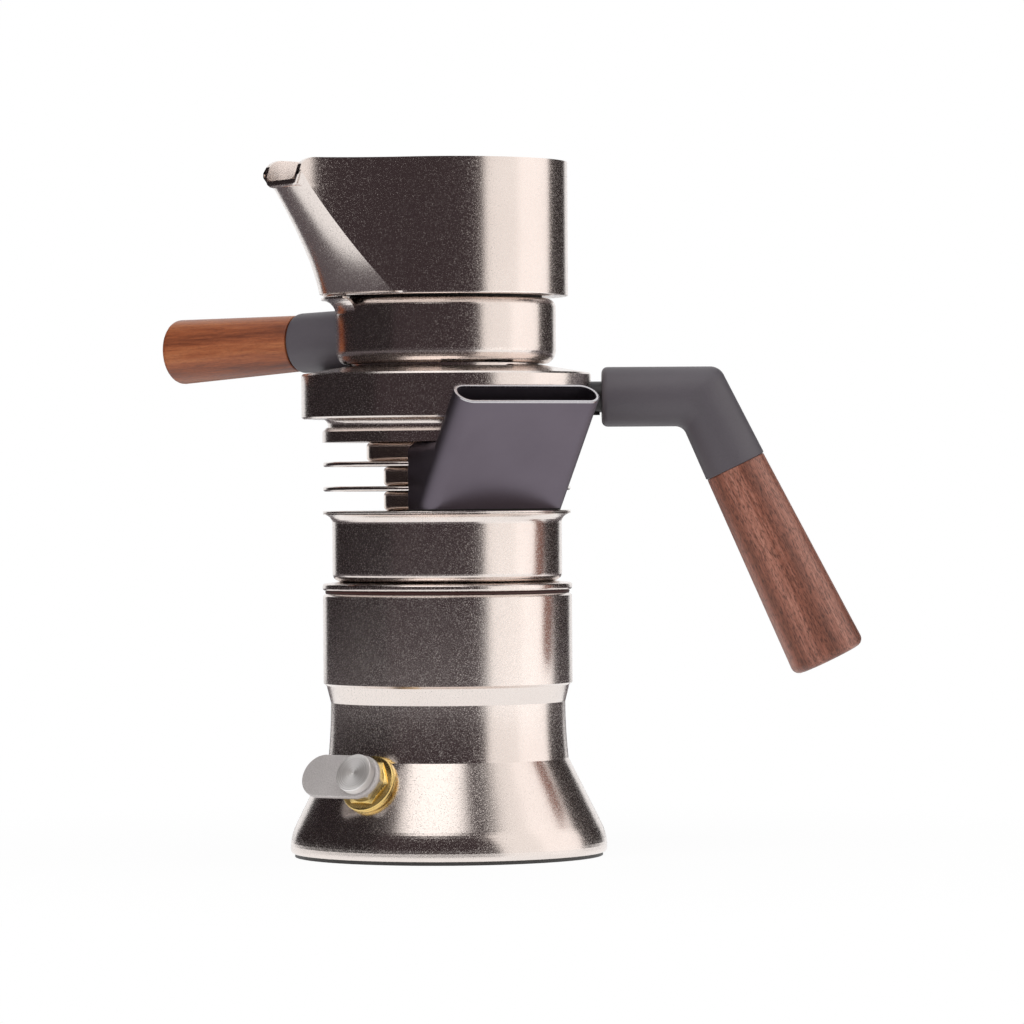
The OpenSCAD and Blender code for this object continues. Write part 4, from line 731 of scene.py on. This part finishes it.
def floor_material():
    """Near white for the camera and in reflections, with the shadow kept."""
    made = bpy.data.materials.new("stage_floor")
    made.use_nodes = True
    nodes, links = made.node_tree.nodes, made.node_tree.links
    bsdf = nodes["Principled BSDF"]
    bsdf.inputs["Base Color"].default_value = FLOOR_COLOR
    bsdf.inputs["Roughness"].default_value = FLOOR_ROUGHNESS
    far = nodes.new("ShaderNodeVectorMath")
    far.operation = "LENGTH"
    links.new(nodes.new("ShaderNodeTexCoord").outputs["Object"], far.inputs[0])
    fade = nodes.new("ShaderNodeMapRange")
    for socket, number in (("From Min", FLOOR_NEAR), ("From Max", FLOOR_FAR),
                           ("To Min", FLOOR_GLOW), ("To Max", 1.0)):
        fade.inputs[socket].default_value = number
    links.new(far.outputs["Value"], fade.inputs["Value"])
    share = nodes.new("ShaderNodeMath")
    share.operation = "MULTIPLY"
    links.new(white_rays(nodes, links), share.inputs[0])
    links.new(fade.outputs["Result"], share.inputs[1])
    both = mixed(nodes, links, share.outputs[0], bsdf.outputs[0], glowing(nodes, "ShaderNodeEmission", WHITE))
    links.new(both, nodes["Material Output"].inputs["Surface"])
    return made


def build_world():
    """White for the camera and in reflections, a dimmer pale room for the light that falls on the object."""
    world = bpy.data.worlds.new("studio")
    bpy.context.scene.world = world
    world.use_nodes = True
    nodes, links = world.node_tree.nodes, world.node_tree.links
    nodes.clear()
    room = glowing(nodes, "ShaderNodeBackground", ROOM_COLOR, ROOM_STRENGTH)
    white = glowing(nodes, "ShaderNodeBackground", WHITE)
    both = mixed(nodes, links, white_rays(nodes, links), room, white)
    links.new(both, nodes.new("ShaderNodeOutputWorld").inputs["Surface"])


def direction(azimuth, elevation):
    """Unit vector for an angle to the right of the camera as seen from the object, and a height angle."""
    a, e = math.radians(azimuth), math.radians(elevation)
    return Vector((math.sin(a) * math.cos(e), -math.cos(a) * math.cos(e), math.sin(e)))


def softbox(name, azimuth, elevation, distance, width, height, radiance, color, shape="RECTANGLE"):
    """Area lamp that faces the object, with a radiance that doesn't change with its size."""
    lamp = bpy.data.lights.new(name, "AREA")
    lamp.shape = shape
    lamp.size, lamp.size_y = width, height
    lamp.color = color
    lamp.energy = radiance * math.pi * width * height
    made = bpy.data.objects.new(name, lamp)
    bpy.context.scene.collection.objects.link(made)
    back = direction(azimuth, elevation)
    made.location = AIM + back * distance
    made.rotation_mode = "QUATERNION"
    made.rotation_quaternion = (-back).to_track_quat("-Z", "Y")
    made.visible_camera = False
    return made


def dark_card(name, points, faces, color):
    """Flag that only reflections see."""
    material = bpy.data.materials.new(name)
    material.use_nodes = True
    nodes, links = material.node_tree.nodes, material.node_tree.links
    nodes.clear()
    glow = glowing(nodes, "ShaderNodeEmission", (*color, 1))
    links.new(glow, nodes.new("ShaderNodeOutputMaterial").inputs["Surface"])
    made = stage_mesh(name, points, faces, material)
    made.visible_camera = False
    made.visible_diffuse = False
    made.visible_shadow = False
    made.visible_transmission = False


def wall_card(name, start, end, high, color):
    """Curved flag that stands on the floor, between two azimuths and up to a height angle."""
    steps = int((end - start) / CARD_STEP)
    top = AIM.z + CARD_DISTANCE * math.tan(math.radians(high))
    points = []
    for i in range(steps + 1):
        at = direction(start + (end - start) * i / steps, 0) * CARD_DISTANCE
        points += [(at.x, at.y, CARD_LOW), (at.x, at.y, top)]
    dark_card(name, points, [(2 * i, 2 * i + 2, 2 * i + 3, 2 * i + 1) for i in range(steps)], color)


def table_card(name, start, end, inner, outer, color):
    """Part of a ring that darkens the far table in reflections, between two azimuths."""
    steps = TABLE_CARD_STEPS
    points = []
    for i in range(steps + 1):
        at = direction(start + (end - start) * i / steps, 0)
        points += [(at.x * reach, at.y * reach, TABLE_CARD_Z) for reach in (inner, outer)]
    dark_card(name, points, [(2 * i, 2 * i + 1, 2 * i + 3, 2 * i + 2) for i in range(steps)], color)


stage_mesh("floor", [(-FLOOR_HALF, -FLOOR_HALF, 0), (FLOOR_HALF, -FLOOR_HALF, 0),
                     (FLOOR_HALF, FLOOR_HALF, 0), (-FLOOR_HALF, FLOOR_HALF, 0)], [(0, 1, 2, 3)], floor_material())
build_world()
softbox("key_right", azimuth=75, elevation=14, distance=1.0, width=1.55, height=1.2,
        radiance=0.93, color=(1.0, 0.96, 0.93))
softbox("top_front", azimuth=-18, elevation=56, distance=1.1, width=1.05, height=0.8,
        radiance=1.08, color=(1.0, 0.98, 0.96), shape="ELLIPSE")
fill_left = softbox("fill_left", azimuth=-42, elevation=22, distance=1.0, width=0.8, height=0.7,
                    radiance=2.5, color=(1.0, 0.97, 0.95))
fill_left.visible_glossy = False
wall_card("flag_left", start=-150, end=-56, high=60, color=(0.024, 0.019, 0.02))
wall_card("flag_front", start=-56, end=10, high=68, color=(0.042, 0.03, 0.033))
wall_card("flag_middle", start=10, end=36, high=62, color=(0.042, 0.03, 0.033))
wall_card("key_back", start=36, end=72, high=50, color=(0.04, 0.035, 0.035))
wall_card("key_edge", start=72, end=115, high=50, color=(0.22, 0.2, 0.2))
wall_card("flag_right", start=115, end=152, high=50, color=(0.03, 0.025, 0.025))
table_card("flag_table", start=-245, end=32, inner=0.42, outer=1.5, color=(0.11, 0.095, 0.102))

# Camera at the photograph's angle
EYE, TARGET = Vector((0.0247, -2.05, 0.141)), Vector((0.0247, 0, 0.1302))
WIDTH_AT_AXIS, CAMERA_ROLL, SENSOR_WIDTH = 0.389, math.radians(0.36), 36
camera_data = bpy.data.cameras.new("camera")
camera = bpy.data.objects.new("camera", camera_data)
bpy.context.scene.collection.objects.link(camera)
camera.location = EYE
camera.rotation_mode = "QUATERNION"
camera.rotation_quaternion = ((TARGET - EYE).to_track_quat("-Z", "Y")
                              @ Quaternion((0, 0, 1), -CAMERA_ROLL))
camera_data.sensor_width = SENSOR_WIDTH
camera_data.lens = SENSOR_WIDTH * (TARGET - EYE).length / WIDTH_AT_AXIS
bpy.context.scene.camera = camera
bpy.context.scene.view_settings.view_transform = "Standard"
